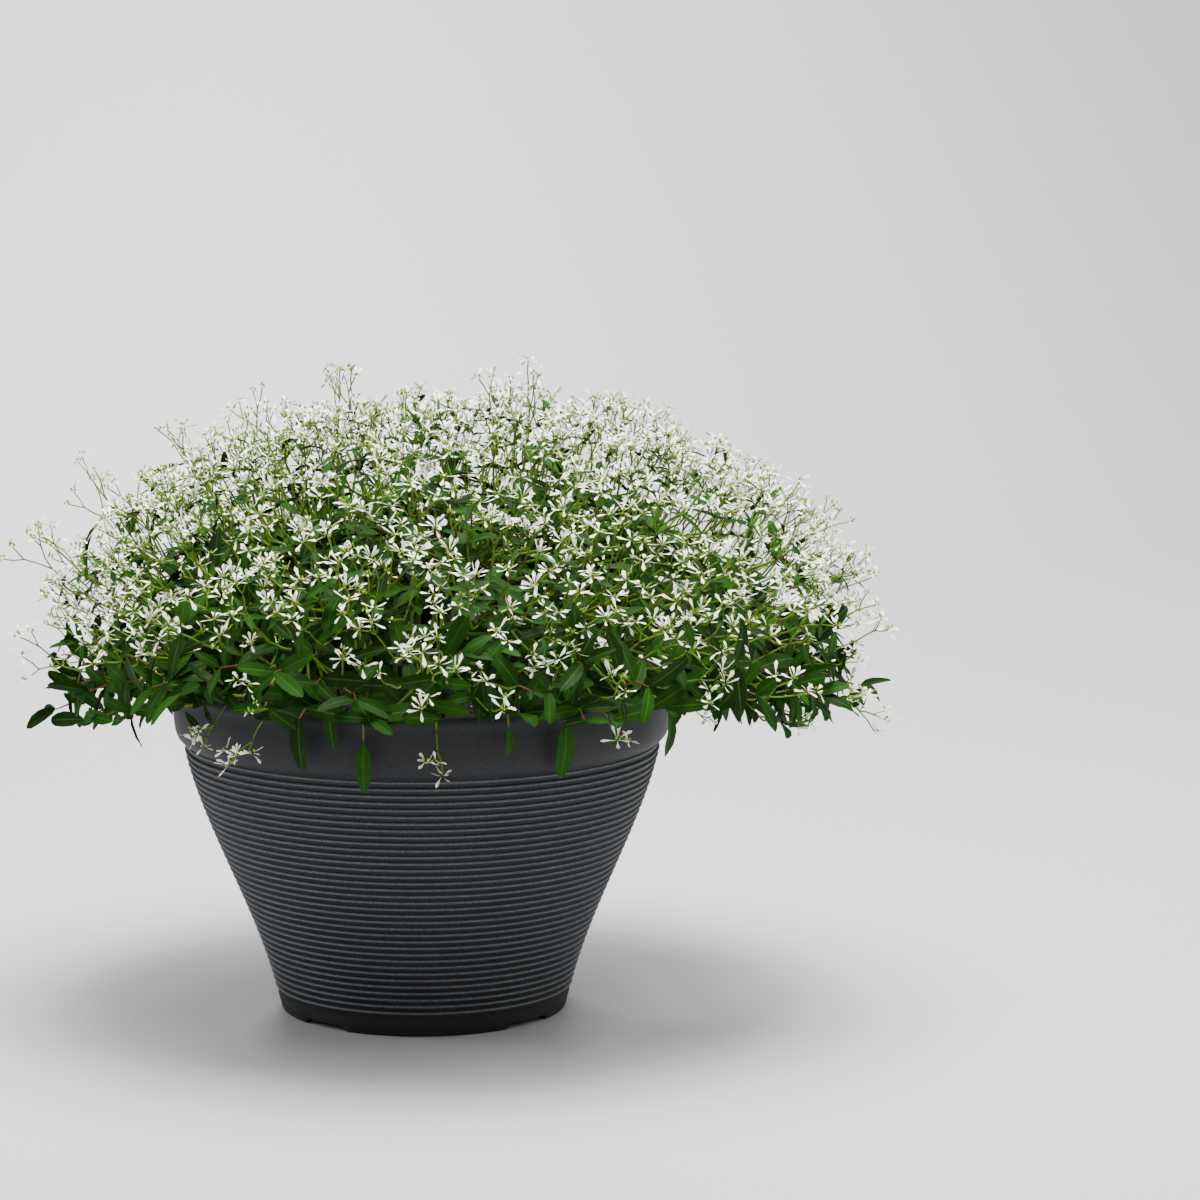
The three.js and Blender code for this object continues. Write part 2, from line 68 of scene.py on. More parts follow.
CAMERA_PLACE = (0.109, -2.89, 0.70)
CAMERA_TILT = 8.8
CAMERA_LENS = 143.4
SWEEP_WIDTH = 9.0
SWEEP_FRONT = -4.0
SWEEP_BACK = 1.9
SWEEP_BEND = 1.6
SWEEP_TOP = 4.5
SWEEP_STEPS = 24
WORLD_LIGHT = 0.36


def linear(colour):
    """A hex colour, as a screen shows it, as linear red, green, blue and alpha."""
    parts = [int(colour[i : i + 2], 16) / 255 for i in (1, 3, 5)]
    return [p / 12.92 if p <= 0.04045 else ((p + 0.055) / 1.055) ** 2.4 for p in parts] + [1.0]


def add_node(tree, kind, inputs=None, **settings):
    """Adds a node. inputs maps a socket's name or number to a value or to another node's output."""
    node = tree.nodes.new(kind)
    for name, value in settings.items():
        setattr(node, name, value)
    for key, value in (inputs or {}).items():
        if isinstance(value, bpy.types.NodeSocket):
            tree.links.new(value, node.inputs[key])
        else:
            node.inputs[key].default_value = value
    return node


def new_material(name, **constants):
    """A material with one Principled shader, some of its sockets set, and the tree to build on."""
    material = bpy.data.materials.new(name)
    material.use_nodes = True
    tree = material.node_tree
    for socket, value in constants.items():
        tree.nodes["Principled BSDF"].inputs[socket.replace("_", " ")].default_value = value
    return material, tree


def scene_object(name, data):
    """A new object in the scene that shows a mesh, a camera or a light."""
    thing = bpy.data.objects.new(name, data)
    bpy.context.scene.collection.objects.link(thing)
    return thing


def mesh_object(name, corners, faces):
    """A new object at the origin, with its place in its mesh."""
    mesh = bpy.data.meshes.new(name)
    mesh.from_pydata([tuple(corner) for corner in corners], [], faces)
    mesh.update()
    return scene_object(name, mesh)


camera_data = bpy.data.cameras.new("camera")
camera_data.lens = CAMERA_LENS
camera = scene_object("camera", camera_data)
camera.location = CAMERA_PLACE
camera.rotation_euler = (math.radians(90 - CAMERA_TILT), 0, 0)
bpy.context.scene.camera = camera

sweep_line = [(SWEEP_FRONT, 0.0)]
for step in range(SWEEP_STEPS + 1):
    angle = math.radians(90 * step / SWEEP_STEPS)
    sweep_line.append((SWEEP_BACK + SWEEP_BEND * math.sin(angle), SWEEP_BEND * (1 - math.cos(angle))))
sweep_line.append((SWEEP_BACK + SWEEP_BEND, SWEEP_TOP))
sweep_corners = [(side * SWEEP_WIDTH / 2, y, z) for y, z in sweep_line for side in (-1, 1)]
sweep_faces = [(2 * i, 2 * i + 1, 2 * i + 3, 2 * i + 2) for i in range(len(sweep_line) - 1)]
sweep = mesh_object("paper_sweep", sweep_corners, sweep_faces)
sweep.data.shade_smooth()
paper = new_material("pale grey paper", Roughness=0.55, Base_Color=linear("#c6c6c7"))[0]
sweep.data.materials.append(paper)


def add_light(name, place, aim, size, power):
    """A square soft white light at a place, pointing at another."""
    data = bpy.data.lights.new(name, "AREA")
    data.size = size
    data.energy = power
    light = scene_object(name, data)
    light.location = place
    light.rotation_euler = (Vector(aim) - Vector(place)).to_track_quat("-Z", "Y").to_euler()


add_light("top softbox", (0.24, -0.08, 2.3), (0.05, 0.0, 0.0), 1.4, 188)
add_light("left softbox", (-2.3, 0.1, 1.2), (0, 0, 0.15), 1.2, 20)
add_light("right softbox", (2.3, 0.3, 1.2), (0, 0, 0.15), 1.2, 13)
add_light("front fill", (0.4, -3.4, 1.9), (0, 0, 0.2), 1.6, 12)
add_light("backdrop softbox", (-0.45, 2.0, 1.4), (-0.35, 2.6, 0.1), 0.7, 46)
world = bpy.data.worlds.new("studio air")
world.use_nodes = True
world.node_tree.nodes["Background"].inputs["Color"].default_value = linear("#f4f4f4")
world.node_tree.nodes["Background"].inputs["Strength"].default_value = WORLD_LIGHT
bpy.context.scene.world = world


# Pot
# One round planter of dark slate grey resin, rotation moulded with stone dust in the mix. Its wall is ribbed
# all round by the mould, with a plain rounded band at the rim, and its foot has four drainage notches.

RIM_RADIUS = 152.5 * MM
POT_HEIGHT = 206 * MM
FOOT_RADIUS = 88 * MM
FOOT_BAND = 9 * MM
FOOT_STEP = 0.3 * MM
# The foot's rounded edge: millimetres out from its radius, and up
FOOT_EDGE = ((-1.8, 0.0), (-0.6, 0.5), (0.0, 1.6))
# The rim band from its lower edge over the lip: millimetres out from the rim's radius, and up from its top
RIM_BAND = (
    (-7.2, -38.0), (-4.6, -36.4), (-2.4, -34.0), (-1.1, -30.5), (-0.4, -26.0), (0.0, -19.0), (-0.2, -12.0),
    (-0.6, -7.5), (-0.3, -5.6), (0.0, -3.6), (-0.5, -1.6), (-1.7, -0.35), (-3.2, 0.0), (-4.8, -0.6),
)
INNER_LIP = (6 * MM, 8 * MM)
INNER_HEIGHTS = (181, 150, 95, 40)
WALL_FLARE = 57 * MM
FLARE_TOP = 162 * MM
FLARE_POWER = 1.06
STRAIGHT_SHARE = 0.6
WALL_THICKNESS = 4 * MM
FLOOR_THICKNESS = 8 * MM
FLOOR_ROUND = 1 * MM
RIB_COUNT = 36
RIBS_FROM = 12 * MM
RIBS_TO = 168 * MM
RIB_DEPTH = 1.7 * MM
CREST_AT = 0.72
RIB_ROUNDING = 0.35
RIB_STEPS = (0.0, 0.2, 0.4, 0.56, 0.7, 0.8, 0.9)
# How far up a rib, and how much of its surface is paler there: scuffed, and a painted highlight where the top
# light catches the upward ledge
SCUFFED_AND_LIT = ((0.1, 0.0), (0.52, 0.06), (0.66, 0.75), (0.8, 1.0), (0.9, 0.2))
POT_SEGMENTS = 144
POT_SHARP_FROM = 50
TURNING_RADIUS = 1.0
NOTCH_ANGLES = (-41.5, 48.5, 138.5, 228.5)
NOTCH_HEIGHT = 3.8 * MM
NOTCH_WIDTH = 36 * MM
NOTCH_SLANT = 3 * MM
CHANNEL_FROM = 40 * MM
CHANNEL_PAST = 10 * MM
DRAIN_RADIUS = 6 * MM
DRAIN_PLACE = 54 * MM
DRAIN_SIDES = 24
SOIL_LEVEL = 181 * MM


def wall_radius(height):
    """The outer wall's radius at a height: an S, steep at the foot and under the rim."""
    t = min(height / FLARE_TOP, 1) ** FLARE_POWER
    curve = 3 * t * t - 2 * t**3
    return FOOT_RADIUS + WALL_FLARE * (STRAIGHT_SHARE * t + (1 - STRAIGHT_SHARE) * curve)


rib_pitch = (RIBS_TO - RIBS_FROM) / RIB_COUNT
pot_line = [(0, 0), (0.5 * FOOT_RADIUS, 0)]
pot_line += [(FOOT_RADIUS + out * MM, up * MM) for out, up in FOOT_EDGE]
pot_line.append((wall_radius(FOOT_BAND) + FOOT_STEP, FOOT_BAND))
ribbed_from = len(pot_line)
for rib in range(RIB_COUNT):
    for share in RIB_STEPS:
        height = RIBS_FROM + (rib + share) * rib_pitch
        pot_line.append((wall_radius(height), height))
ribbed_to = len(pot_line)
pot_line += [(RIM_RADIUS + out * MM, POT_HEIGHT + up * MM) for out, up in RIM_BAND]
inner_wall = [(RIM_RADIUS - INNER_LIP[0], POT_HEIGHT - INNER_LIP[1])]
inner_wall += [(wall_radius(z * MM) - WALL_THICKNESS, z * MM) for z in INNER_HEIGHTS]
inner_wall += [(wall_radius(FLOOR_THICKNESS) - WALL_THICKNESS - FLOOR_ROUND, FLOOR_THICKNESS)]
pot_line += inner_wall + [(0, FLOOR_THICKNESS)]


def line_object(name, corners, edges, numbers):
    """Lines between corners as an object for a tree, with named numbers at the corners."""
    mesh = bpy.data.meshes.new(name)
    mesh.from_pydata([tuple(corner) for corner in corners], edges, [])
    for attribute, values in numbers.items():
        mesh.attributes.new(attribute, "FLOAT", "POINT").data.foreach_set("value", values)
    return scene_object(name, mesh)


def new_tree(name, sockets):
    """A geometry tree and its two end nodes. Each input has a default number, or else names its kind."""
    tree = bpy.data.node_groups.new(name, "GeometryNodeTree")
    tree.interface.new_socket("Geometry", in_out="INPUT", socket_type="NodeSocketGeometry")
    tree.interface.new_socket("Geometry", in_out="OUTPUT", socket_type="NodeSocketGeometry")
    for socket, value in sockets.items():
        kind = {float: "Float", int: "Int"}.get(type(value), value)
        made = tree.interface.new_socket(socket, in_out="INPUT", socket_type="NodeSocket" + kind)
        if kind != value:
            made.default_value = value
    return tree, add_node(tree, "NodeGroupInput"), add_node(tree, "NodeGroupOutput")


def evaluated(thing, tree, values, name):
    """Runs a tree on an object and leaves a plain mesh in its place."""
    modifier = thing.modifiers.new(tree.name, "NODES")
    modifier.node_group = tree
    for item in tree.interface.items_tree:
        if item.item_type == "SOCKET" and item.in_out == "INPUT" and item.name in values:
            modifier[item.identifier] = values[item.name]
    bpy.context.view_layer.update()
    mesh = bpy.data.meshes.new_from_object(thing.evaluated_get(bpy.context.evaluated_depsgraph_get()))
    mesh.name = name
    piece = scene_object(name, mesh)
    bpy.data.objects.remove(thing)
    return piece


def end_tree(tree, output, parts, material, where=True):
    """Joins a tree's parts, makes them real and sets the material where it belongs, as the output."""
    together = add_node(tree, "GeometryNodeJoinGeometry")
    for part in parts:
        tree.links.new(part, together.inputs[0])
    real = add_node(tree, "GeometryNodeRealizeInstances", {0: together.outputs[0]}).outputs[0]
    inputs = {"Geometry": real, "Selection": where, "Material": material}
    tree.links.new(add_node(tree, "GeometryNodeSetMaterial", inputs).outputs[0], output.inputs[0])


def calculated(tree, operation, *values):
    """The result of one math node."""
    return add_node(tree, "ShaderNodeMath", dict(enumerate(values)), operation=operation).outputs[0]


def blend(tree, share, first, second):
    """A colour between two, each a hex colour or another node's colour."""
    first, second = [linear(end) if isinstance(end, str) else end for end in (first, second)]
    return add_node(tree, "ShaderNodeMix", {0: share, 6: first, 7: second}, data_type="RGBA").outputs[2]


def stretched(tree, value, start, end, low=0.0, high=1.0, **settings):
    """A value's place between a start and an end, as a number from low to high."""
    inputs = {"Value": value, "From Min": start, "From Max": end, "To Min": low, "To Max": high}
    return add_node(tree, "ShaderNodeMapRange", inputs, **settings).outputs[0]


def noise_on(tree, scale, detail, roughness=0.5):
    """Noise on the object's own coordinates, with its scale in patches to the metre."""
    place = add_node(tree, "ShaderNodeTexCoord").outputs["Object"]
    inputs = {"Vector": place, "Scale": scale, "Detail": detail, "Roughness": roughness}
    return add_node(tree, "ShaderNodeTexNoise", inputs).outputs[0]


def dress(tree, colour, height=None, strength=1.0, depth=0.0, **settings):
    """Links a colour to the material's shader and, where there is one, a height as a bump."""
    shader = tree.nodes["Principled BSDF"]
    tree.links.new(colour, shader.inputs["Base Color"])
    if height:
        inputs = {"Strength": strength, "Distance": depth, "Height": height}
        bump = add_node(tree, "ShaderNodeBump", inputs, **settings)
        tree.links.new(bump.outputs[0], shader.inputs["Normal"])


def scaled(tree, colour, by):
    """A colour made lighter or darker by a number."""
    return add_node(tree, "ShaderNodeVectorMath", {0: colour, "Scale": by}, operation="SCALE").outputs[0]


def stored_number(tree, name, data_type="FLOAT"):
    """What a geometry tree reads from a named attribute."""
    return add_node(tree, "GeometryNodeInputNamedAttribute", {"Name": name}, data_type=data_type).outputs[0]


def compared(tree, operation, *values):
    """Whether a number is above or below another."""
    return add_node(tree, "FunctionNodeCompare", dict(enumerate(values)), operation=operation).outputs[0]


# Stone-filled resin: matte, a fine even speckle, paler along the crests of the ribs, partly scuffed and
# partly a painted highlight of light from above
resin, resin_tree = new_material("rotation moulded stone resin", Roughness=0.66, Specular_IOR_Level=0.35)
place = add_node(resin_tree, "ShaderNodeTexCoord").outputs["Object"]
height = add_node(resin_tree, "ShaderNodeSeparateXYZ", {0: place}).outputs["Z"]
ribs_up = stretched(resin_tree, height, RIBS_FROM, RIBS_TO, 0.0, float(RIB_COUNT), clamp=False)
phase = calculated(resin_tree, "FRACT", ribs_up)
# The paler band high on each rib is partly real scuffing and partly a painted highlight: light from above on
# the upward ledge
ledge = add_node(resin_tree, "ShaderNodeValToRGB", {"Fac": phase})
ledge.color_ramp.elements[1].color = (0.05, 0.05, 0.05, 1)
for spot, value in SCUFFED_AND_LIT:
    ledge.color_ramp.elements.new(spot).color = (value, value, value, 1)
above = calculated(resin_tree, "GREATER_THAN", ribs_up, 0.0)
below = calculated(resin_tree, "LESS_THAN", ribs_up, float(RIB_COUNT))
ribbed = calculated(resin_tree, "MULTIPLY", above, below)
scuff_and_highlight = calculated(resin_tree, "MULTIPLY", ledge.outputs["Color"], ribbed)
# Stone dust of about 0.5 mm, drawn at 0.9 mm so that it shows
speckle = noise_on(resin_tree, 1100.0, 2.0, 0.7)
cloud = noise_on(resin_tree, 22.0, 3.0)
dark = blend(resin_tree, cloud, "#17191b", "#1f2123")
scuffed_and_lit = blend(resin_tree, scuff_and_highlight, dark, "#64686c")
grain = stretched(resin_tree, speckle, 0.3, 0.7, 0.5, 1.6)
dress(resin_tree, scaled(resin_tree, scuffed_and_lit, grain), speckle, 0.35, 0.2 * MM)

# The tree presses the ribs into the wall's line, then turns the line round the pot's axis. A turned line
# stands off the turning circle, so the circle's own radius is taken off first.
pot_tree, pot_in, pot_out = new_tree(
    "ribbed turned pot",
    {
        "Ribs from": RIBS_FROM,
        "Ribs to": RIBS_TO,
        "Rib count": float(RIB_COUNT),
        "Rib depth": RIB_DEPTH,
        "Crest at": CREST_AT,
        "Segments": POT_SEGMENTS,
        "Material": "Material",
    },
)
line = add_node(pot_tree, "GeometryNodeMeshToCurve", {"Mesh": pot_in.outputs["Geometry"]}).outputs[0]
place = add_node(pot_tree, "GeometryNodeInputPosition").outputs[0]
axes = add_node(pot_tree, "ShaderNodeSeparateXYZ", {0: place})
ribs_from, ribs_to, ribs = [pot_in.outputs[name] for name in ("Ribs from", "Ribs to", "Rib count")]
ribs_up = stretched(pot_tree, axes.outputs["Z"], ribs_from, ribs_to, 0.0, ribs, clamp=False)
phase = calculated(pot_tree, "FRACT", ribs_up)
rise = calculated(pot_tree, "DIVIDE", phase, pot_in.outputs["Crest at"])
rest = calculated(pot_tree, "SUBTRACT", 1.0, phase)
past_crest = calculated(pot_tree, "SUBTRACT", 1.0, pot_in.outputs["Crest at"])
fall = calculated(pot_tree, "DIVIDE", rest, past_crest)
tooth = calculated(pot_tree, "SMOOTH_MIN", rise, fall, RIB_ROUNDING)
middle = calculated(pot_tree, "SUBTRACT", tooth, 0.5)
deep = calculated(pot_tree, "MULTIPLY", middle, pot_in.outputs["Rib depth"])
push = calculated(pot_tree, "MULTIPLY", deep, stored_number(pot_tree, "ribbed"))
radius = calculated(pot_tree, "ADD", axes.outputs["X"], push)
stand = calculated(pot_tree, "SUBTRACT", radius, TURNING_RADIUS)
down = calculated(pot_tree, "MULTIPLY", axes.outputs["Z"], -1.0)
turned = add_node(pot_tree, "ShaderNodeCombineXYZ", {"X": stand, "Y": down}).outputs[0]
section = add_node(pot_tree, "GeometryNodeSetPosition", {"Geometry": line, "Position": turned}).outputs[0]
circle = add_node(
    pot_tree,
    "GeometryNodeCurvePrimitiveCircle",
    {"Resolution": pot_in.outputs["Segments"], "Radius": TURNING_RADIUS},
    mode="RADIUS",
).outputs[0]
upright = add_node(pot_tree, "GeometryNodeSetCurveNormal", {"Curve": circle}, mode="Z_UP").outputs[0]
shell = add_node(pot_tree, "GeometryNodeCurveToMesh", {"Curve": upright, "Profile Curve": section}).outputs[0]
closed = add_node(pot_tree, "GeometryNodeMergeByDistance", {"Geometry": shell, "Distance": 0.01 * MM})
end_tree(pot_tree, pot_out, [closed.outputs[0]], pot_in.outputs["Material"])

ribbed_marks = [1.0 if ribbed_from <= i < ribbed_to else 0.0 for i in range(len(pot_line))]
corners = [(x, 0, z) for x, z in pot_line]
edges = [(i, i + 1) for i in range(len(pot_line) - 1)]
pot_object = line_object("pot line", corners, edges, {"ribbed": ribbed_marks})
pot = evaluated(pot_object, pot_tree, {"Material": resin}, "slate_pot")


def outward(mesh):
    """Turns a closed mesh's faces outwards."""
    work = bmesh.new()
    work.from_mesh(mesh)
    bmesh.ops.recalc_face_normals(work, faces=work.faces)
    if work.calc_volume(signed=True) < 0:
        bmesh.ops.reverse_faces(work, faces=work.faces)
    work.to_mesh(mesh)
    work.free()


outward(pot.data)


def round_spots(radius, sides):
    """Places evenly round a circle."""
    angles = [2 * math.pi * k / sides for k in range(sides)]
    return [(radius * math.cos(angle), radius * math.sin(angle)) for angle in angles]


def prism(name, rings):
    """A closed object between two rings of corners."""
    count = len(rings[0])
    faces = [tuple(range(count))[::-1], tuple(range(count, 2 * count))]
    faces += [(k, (k + 1) % count, (k + 1) % count + count, k + count) for k in range(count)]
    return mesh_object(name, rings[0] + rings[1], faces)


# Each drainage channel is a flat slot from near the middle to the foot's edge, and a hole leads up from it.
half = NOTCH_WIDTH / 2
notch = [(-half - NOTCH_SLANT, -NOTCH_HEIGHT), (half + NOTCH_SLANT, -NOTCH_HEIGHT)]
notch += [(half - NOTCH_SLANT, NOTCH_HEIGHT), (-half + NOTCH_SLANT, NOTCH_HEIGHT)]
channel_ends = (-CHANNEL_FROM, -FOOT_RADIUS - CHANNEL_PAST)
hole = [(x, y - DRAIN_PLACE) for x, y in round_spots(DRAIN_RADIUS, DRAIN_SIDES)]
hole_ends = (-FLOOR_THICKNESS, 2 * FLOOR_THICKNESS)
cutters = []
for angle in NOTCH_ANGLES:
    turn = Matrix.Rotation(math.radians(angle), 4, "Z")
    cutters.append(prism("channel", [[turn @ Vector((x, y, z)) for x, z in notch] for y in channel_ends]))
    cutters.append(prism("drain", [[turn @ Vector((x, y, z)) for x, y in hole] for z in hole_ends]))
for cutter in cutters:
    outward(cutter.data)
    cut = pot.modifiers.new("cut", "BOOLEAN")
    cut.operation = "DIFFERENCE"
    cut.solver = "MANIFOLD"
    cut.object = cutter
bpy.context.view_layer.update()
cut_mesh = bpy.data.meshes.new_from_object(pot.evaluated_get(bpy.context.evaluated_depsgraph_get()))
pot.modifiers.clear()
pot.data = cut_mesh
for cutter in cutters:
    bpy.data.objects.remove(cutter)
pot.data.shade_smooth()
pot.data.set_sharp_from_angle(angle=math.radians(POT_SHARP_FROM))
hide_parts("pot")
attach(pot, "root")


# Soil
# A loose moist potting mix of peat and bark, filled to a little under the rim, crumbled on top, with bits of
# bark and white perlite lying in it.

SOIL_CROWN = 5 * MM
SOIL_CRUMB = 2.2 * MM
SOIL_RINGS = 44
SOIL_SEGMENTS = 130
BITS = 900
BIT_SIZE = (1.2 * MM, 4.5 * MM)
BIT_FLATNESS = 0.6
BARK_FORMS = 5
CRUMBS_PER_METRE = 130
FACES_UP_FROM = 0.35
FIT_GAP = 0.3 * MM

# Peat and bark mix, in soft patches and crumbs: near black as moist peat is, and darker still as painted
# shade for its place under the foliage
mix, mix_tree = new_material("moist peat and bark mix", Roughness=0.95)
crumb = noise_on(mix_tree, 420.0, 6.0)
brown = blend(mix_tree, noise_on(mix_tree, 40.0, 3.0), "#0e0a06", "#2a1e14")
dress(mix_tree, blend(mix_tree, crumb, brown, "#1e150e"), crumb, 0.8, 1.0 * MM)
bark, bark_tree = new_material("composted bark chips", Roughness=0.85)
dress(bark_tree, blend(bark_tree, noise_on(bark_tree, 600.0, 3.0), "#1d130b", "#493221"))
perlite, perlite_tree = new_material("expanded perlite grains", Roughness=0.9)
dress(perlite_tree, blend(perlite_tree, noise_on(perlite_tree, 900.0, 2.0), "#a39c8f", "#e6e2da"))

soil_edge = wall_radius(SOIL_LEVEL) - WALL_THICKNESS - FIT_GAP


def soil_height(x, y):
    """The crumbled soil's height at a place."""
    share = min(math.hypot(x, y) / soil_edge, 1)
    crumbs = noise.fractal(Vector((x, y, 0)) * CRUMBS_PER_METRE, 1.0, 2.1, 4)
    return SOIL_LEVEL + SOIL_CROWN * (1 - share * share) + SOIL_CRUMB * crumbs * (1 - share**12)


def rows_of_faces(rows, count):
    """The faces of rows of corners that each go all round, closed at one corner before the first row."""
    faces = [(0, 1 + k, 1 + (k + 1) % count) for k in range(count)]
    for row in range(rows - 1):
        for k in range(count):
            a = 1 + row * count + k
            b = 1 + row * count + (k + 1) % count
            faces.append((a, a + count, b + count, b))
    return faces


corners = [Vector((0, 0, soil_height(0, 0)))]
for ring in range(1, SOIL_RINGS + 1):
    for x, y in round_spots(soil_edge * ring / SOIL_RINGS, SOIL_SEGMENTS):
        corners.append(Vector((x, y, soil_height(x, y))))
for radius, z in inner_wall[2:]:
    for x, y in round_spots(radius - FIT_GAP, SOIL_SEGMENTS):
        corners.append(Vector((x, y, max(z, FLOOR_THICKNESS + FIT_GAP))))
soil_rows = SOIL_RINGS + len(inner_wall) - 2
faces = rows_of_faces(soil_rows, SOIL_SEGMENTS)
faces.append(tuple(1 + (soil_rows - 1) * SOIL_SEGMENTS + k for k in range(SOIL_SEGMENTS))[::-1])
soil = mesh_object("potting_soil", corners, faces)
outward(soil.data)
soil.data.shade_smooth()
soil.data.materials.append(mix)


def shapes_of(tree, collection):
    """The shapes in a collection, one by one, for a tree to place."""
    inputs = {"Collection": collection, "Separate Children": True, "Reset Children": True}
    return add_node(tree, "GeometryNodeCollectionInfo", inputs).outputs[0]


def bit_shape(name, material, stretch, seed):
    """One angular bit of bark or perlite, a unit across, for the scatter."""
    work = bmesh.new()
    bmesh.ops.create_icosphere(work, subdivisions=1, radius=0.5)
    draw = random.Random(seed)
    for corner in work.verts:
        corner.co *= draw.uniform(0.75, 1.1)
        corner.co.x *= stretch
        corner.co.z *= BIT_FLATNESS
    mesh = bpy.data.meshes.new(name)
    work.to_mesh(mesh)
    work.free()
    mesh.materials.append(material)
    return bpy.data.objects.new(name, mesh)


bits = bpy.data.collections.new("soil bits")
for k in range(BARK_FORMS):
    bits.objects.link(bit_shape(f"bark bit {k}", bark, 1.0 + 0.35 * k, k))
bits.objects.link(bit_shape("perlite bit", perlite, 1.0, 9))

# The tree scatters the bits over the soil's upper faces, turned at random and half sunk in.
scatter_tree, scatter_in, scatter_out = new_tree(
    "bits on the soil",
    {
        "Bits per square metre": BITS / (math.pi * soil_edge**2),
        "Smallest": BIT_SIZE[0],
        "Largest": BIT_SIZE[1],
        "Seed": 7,
        "Bits": "Collection",
        "Soil material": "Material",
    },
)
facing = add_node(scatter_tree, "GeometryNodeInputNormal").outputs[0]
upness = add_node(scatter_tree, "ShaderNodeSeparateXYZ", {0: facing}).outputs["Z"]
above = compared(scatter_tree, "GREATER_THAN", upness, FACES_UP_FROM)
points = add_node(
    scatter_tree,
    "GeometryNodeDistributePointsOnFaces",
    {
        "Mesh": scatter_in.outputs["Geometry"],
        "Selection": above,
        "Density": scatter_in.outputs["Bits per square metre"],
        "Seed": scatter_in.outputs["Seed"],
    },
).outputs[0]
kinds = shapes_of(scatter_tree, scatter_in.outputs["Bits"])
spin = add_node(
    scatter_tree,
    "FunctionNodeRandomValue",
    {"Min": (0.0, 0.0, 0.0), "Max": (6.28, 6.28, 6.28), "Seed": scatter_in.outputs["Seed"]},
    data_type="FLOAT_VECTOR",
).outputs[0]
spun = add_node(scatter_tree, "FunctionNodeEulerToRotation", {0: spin}).outputs[0]
size = add_node(scatter_tree, "FunctionNodeRandomValue", {"Seed": 3}, data_type="FLOAT")
scatter_tree.links.new(scatter_in.outputs["Smallest"], size.inputs[2])
scatter_tree.links.new(scatter_in.outputs["Largest"], size.inputs[3])
placed_bits = add_node(
    scatter_tree,
    "GeometryNodeInstanceOnPoints",
    {"Points": points, "Instance": kinds, "Pick Instance": True, "Rotation": spun, "Scale": size.outputs[1]},
).outputs[0]
marked_soil = add_node(
    scatter_tree,
    "GeometryNodeStoreNamedAttribute",
    {"Geometry": scatter_in.outputs["Geometry"], "Name": "soil", "Value": 1.0},
    data_type="FLOAT",
    domain="POINT",
).outputs[0]
is_soil = compared(scatter_tree, "GREATER_THAN", stored_number(scatter_tree, "soil"), 0.5)
soil_parts = [marked_soil, placed_bits]
end_tree(scatter_tree, scatter_out, soil_parts, scatter_in.outputs["Soil material"], is_soil)
soil = evaluated(soil, scatter_tree, {"Bits": bits, "Soil material": mix}, "potting_soil_and_bits")
soil.data.attributes.remove(soil.data.attributes["soil"])
for bit in list(bits.objects):
    bpy.data.objects.remove(bit)
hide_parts("soil")
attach(soil, "root")


# Blades
# Every leaf and bract is one blade: lens-shaped across, thickest along its midrib, pointed at both ends. The
# leaves are soft and matte with a paler midrib, and the bracts are thin and white with a narrow claw.


def blade(length, width, shape, columns, thickness, droop, fold, wave=0.0):
    """Corners, faces and pattern places (across, along) of a closed blade along +X, its upper face to +Z.

    shape pairs each station's share of the length with its share of the width, without the two pointed ends.
    """
    spots = [-1 + 2 * k / (columns - 1) for k in range(columns)]
    under = spots[-2:0:-1] or [0.0]
    ring = [(spot, 1) for spot in spots] + [(spot, -1) for spot in under]

    def spine(share):
        return Vector((length * (share - 0.12 * droop * share**2), 0, -droop * length * share**2))

    corners, marks = [spine(0)], [(0.0, 0.0)]
    for share, part in shape:
        half = width / 2 * part
        for spot, side in ring:
            ruffle = wave * length * math.sin(9 * share + 2 * spot)
            lift = (fold * half + ruffle) * abs(spot)
            thick = side * thickness / 2 * (1 - spot * spot)
            corners.append(spine(share) + Vector((0, spot * half, lift + thick)))
            marks.append((spot, share))
    corners.append(spine(1))
    marks.append((0.0, 1.0))
    count = len(ring)
    last = len(corners) - 1
    faces = rows_of_faces(len(shape), count)
    faces += [(last, last - count + (k + 1) % count, last - count + k) for k in range(count)]
    return corners, faces, marks


class Shape:
    """A small mesh made of several closed pieces, each in its own material, for the spray's tree."""

    def __init__(self, name, materials):
        self.name, self.materials = name, materials
        self.corners, self.faces, self.marks, self.slots = [], [], [], []

    def add(self, corners, faces, marks, slot, place):
        start = len(self.corners)
        self.corners += [place @ corner for corner in corners]
        self.faces += [tuple(start + i for i in face) for face in faces]
        self.marks += marks
        self.slots += [slot] * len(faces)

    def built(self):
        mesh = bpy.data.meshes.new(self.name)
        mesh.from_pydata([tuple(corner) for corner in self.corners], [], self.faces)
        for material in self.materials:
            mesh.materials.append(material)
        mesh.polygons.foreach_set("material_index", self.slots)
        pattern = mesh.attributes.new("blade", "FLOAT_VECTOR", "POINT")
        places = [value for across, along in self.marks for value in (across, along, 0)]
        pattern.data.foreach_set("vector", places)
        mesh.shade_smooth()
        mesh.set_sharp_from_angle(angle=math.radians(62))
        mesh.update()
        return bpy.data.objects.new(self.name, mesh)


def mesh_attribute(tree, name):
    """The node by which a material reads a named attribute of the mesh."""
    return add_node(tree, "ShaderNodeAttribute", attribute_name=name, attribute_type="GEOMETRY")


LEAF_LENGTH = 34 * MM
LEAF_WIDTH = 11.4 * MM
LEAF_SHAPE = ((0.09, 0.42), (0.27, 0.88), (0.52, 1.0), (0.77, 0.84), (0.94, 0.42))
SMALL_LEAF_SHAPE = ((0.2, 0.62), (0.5, 1.0), (0.82, 0.56))

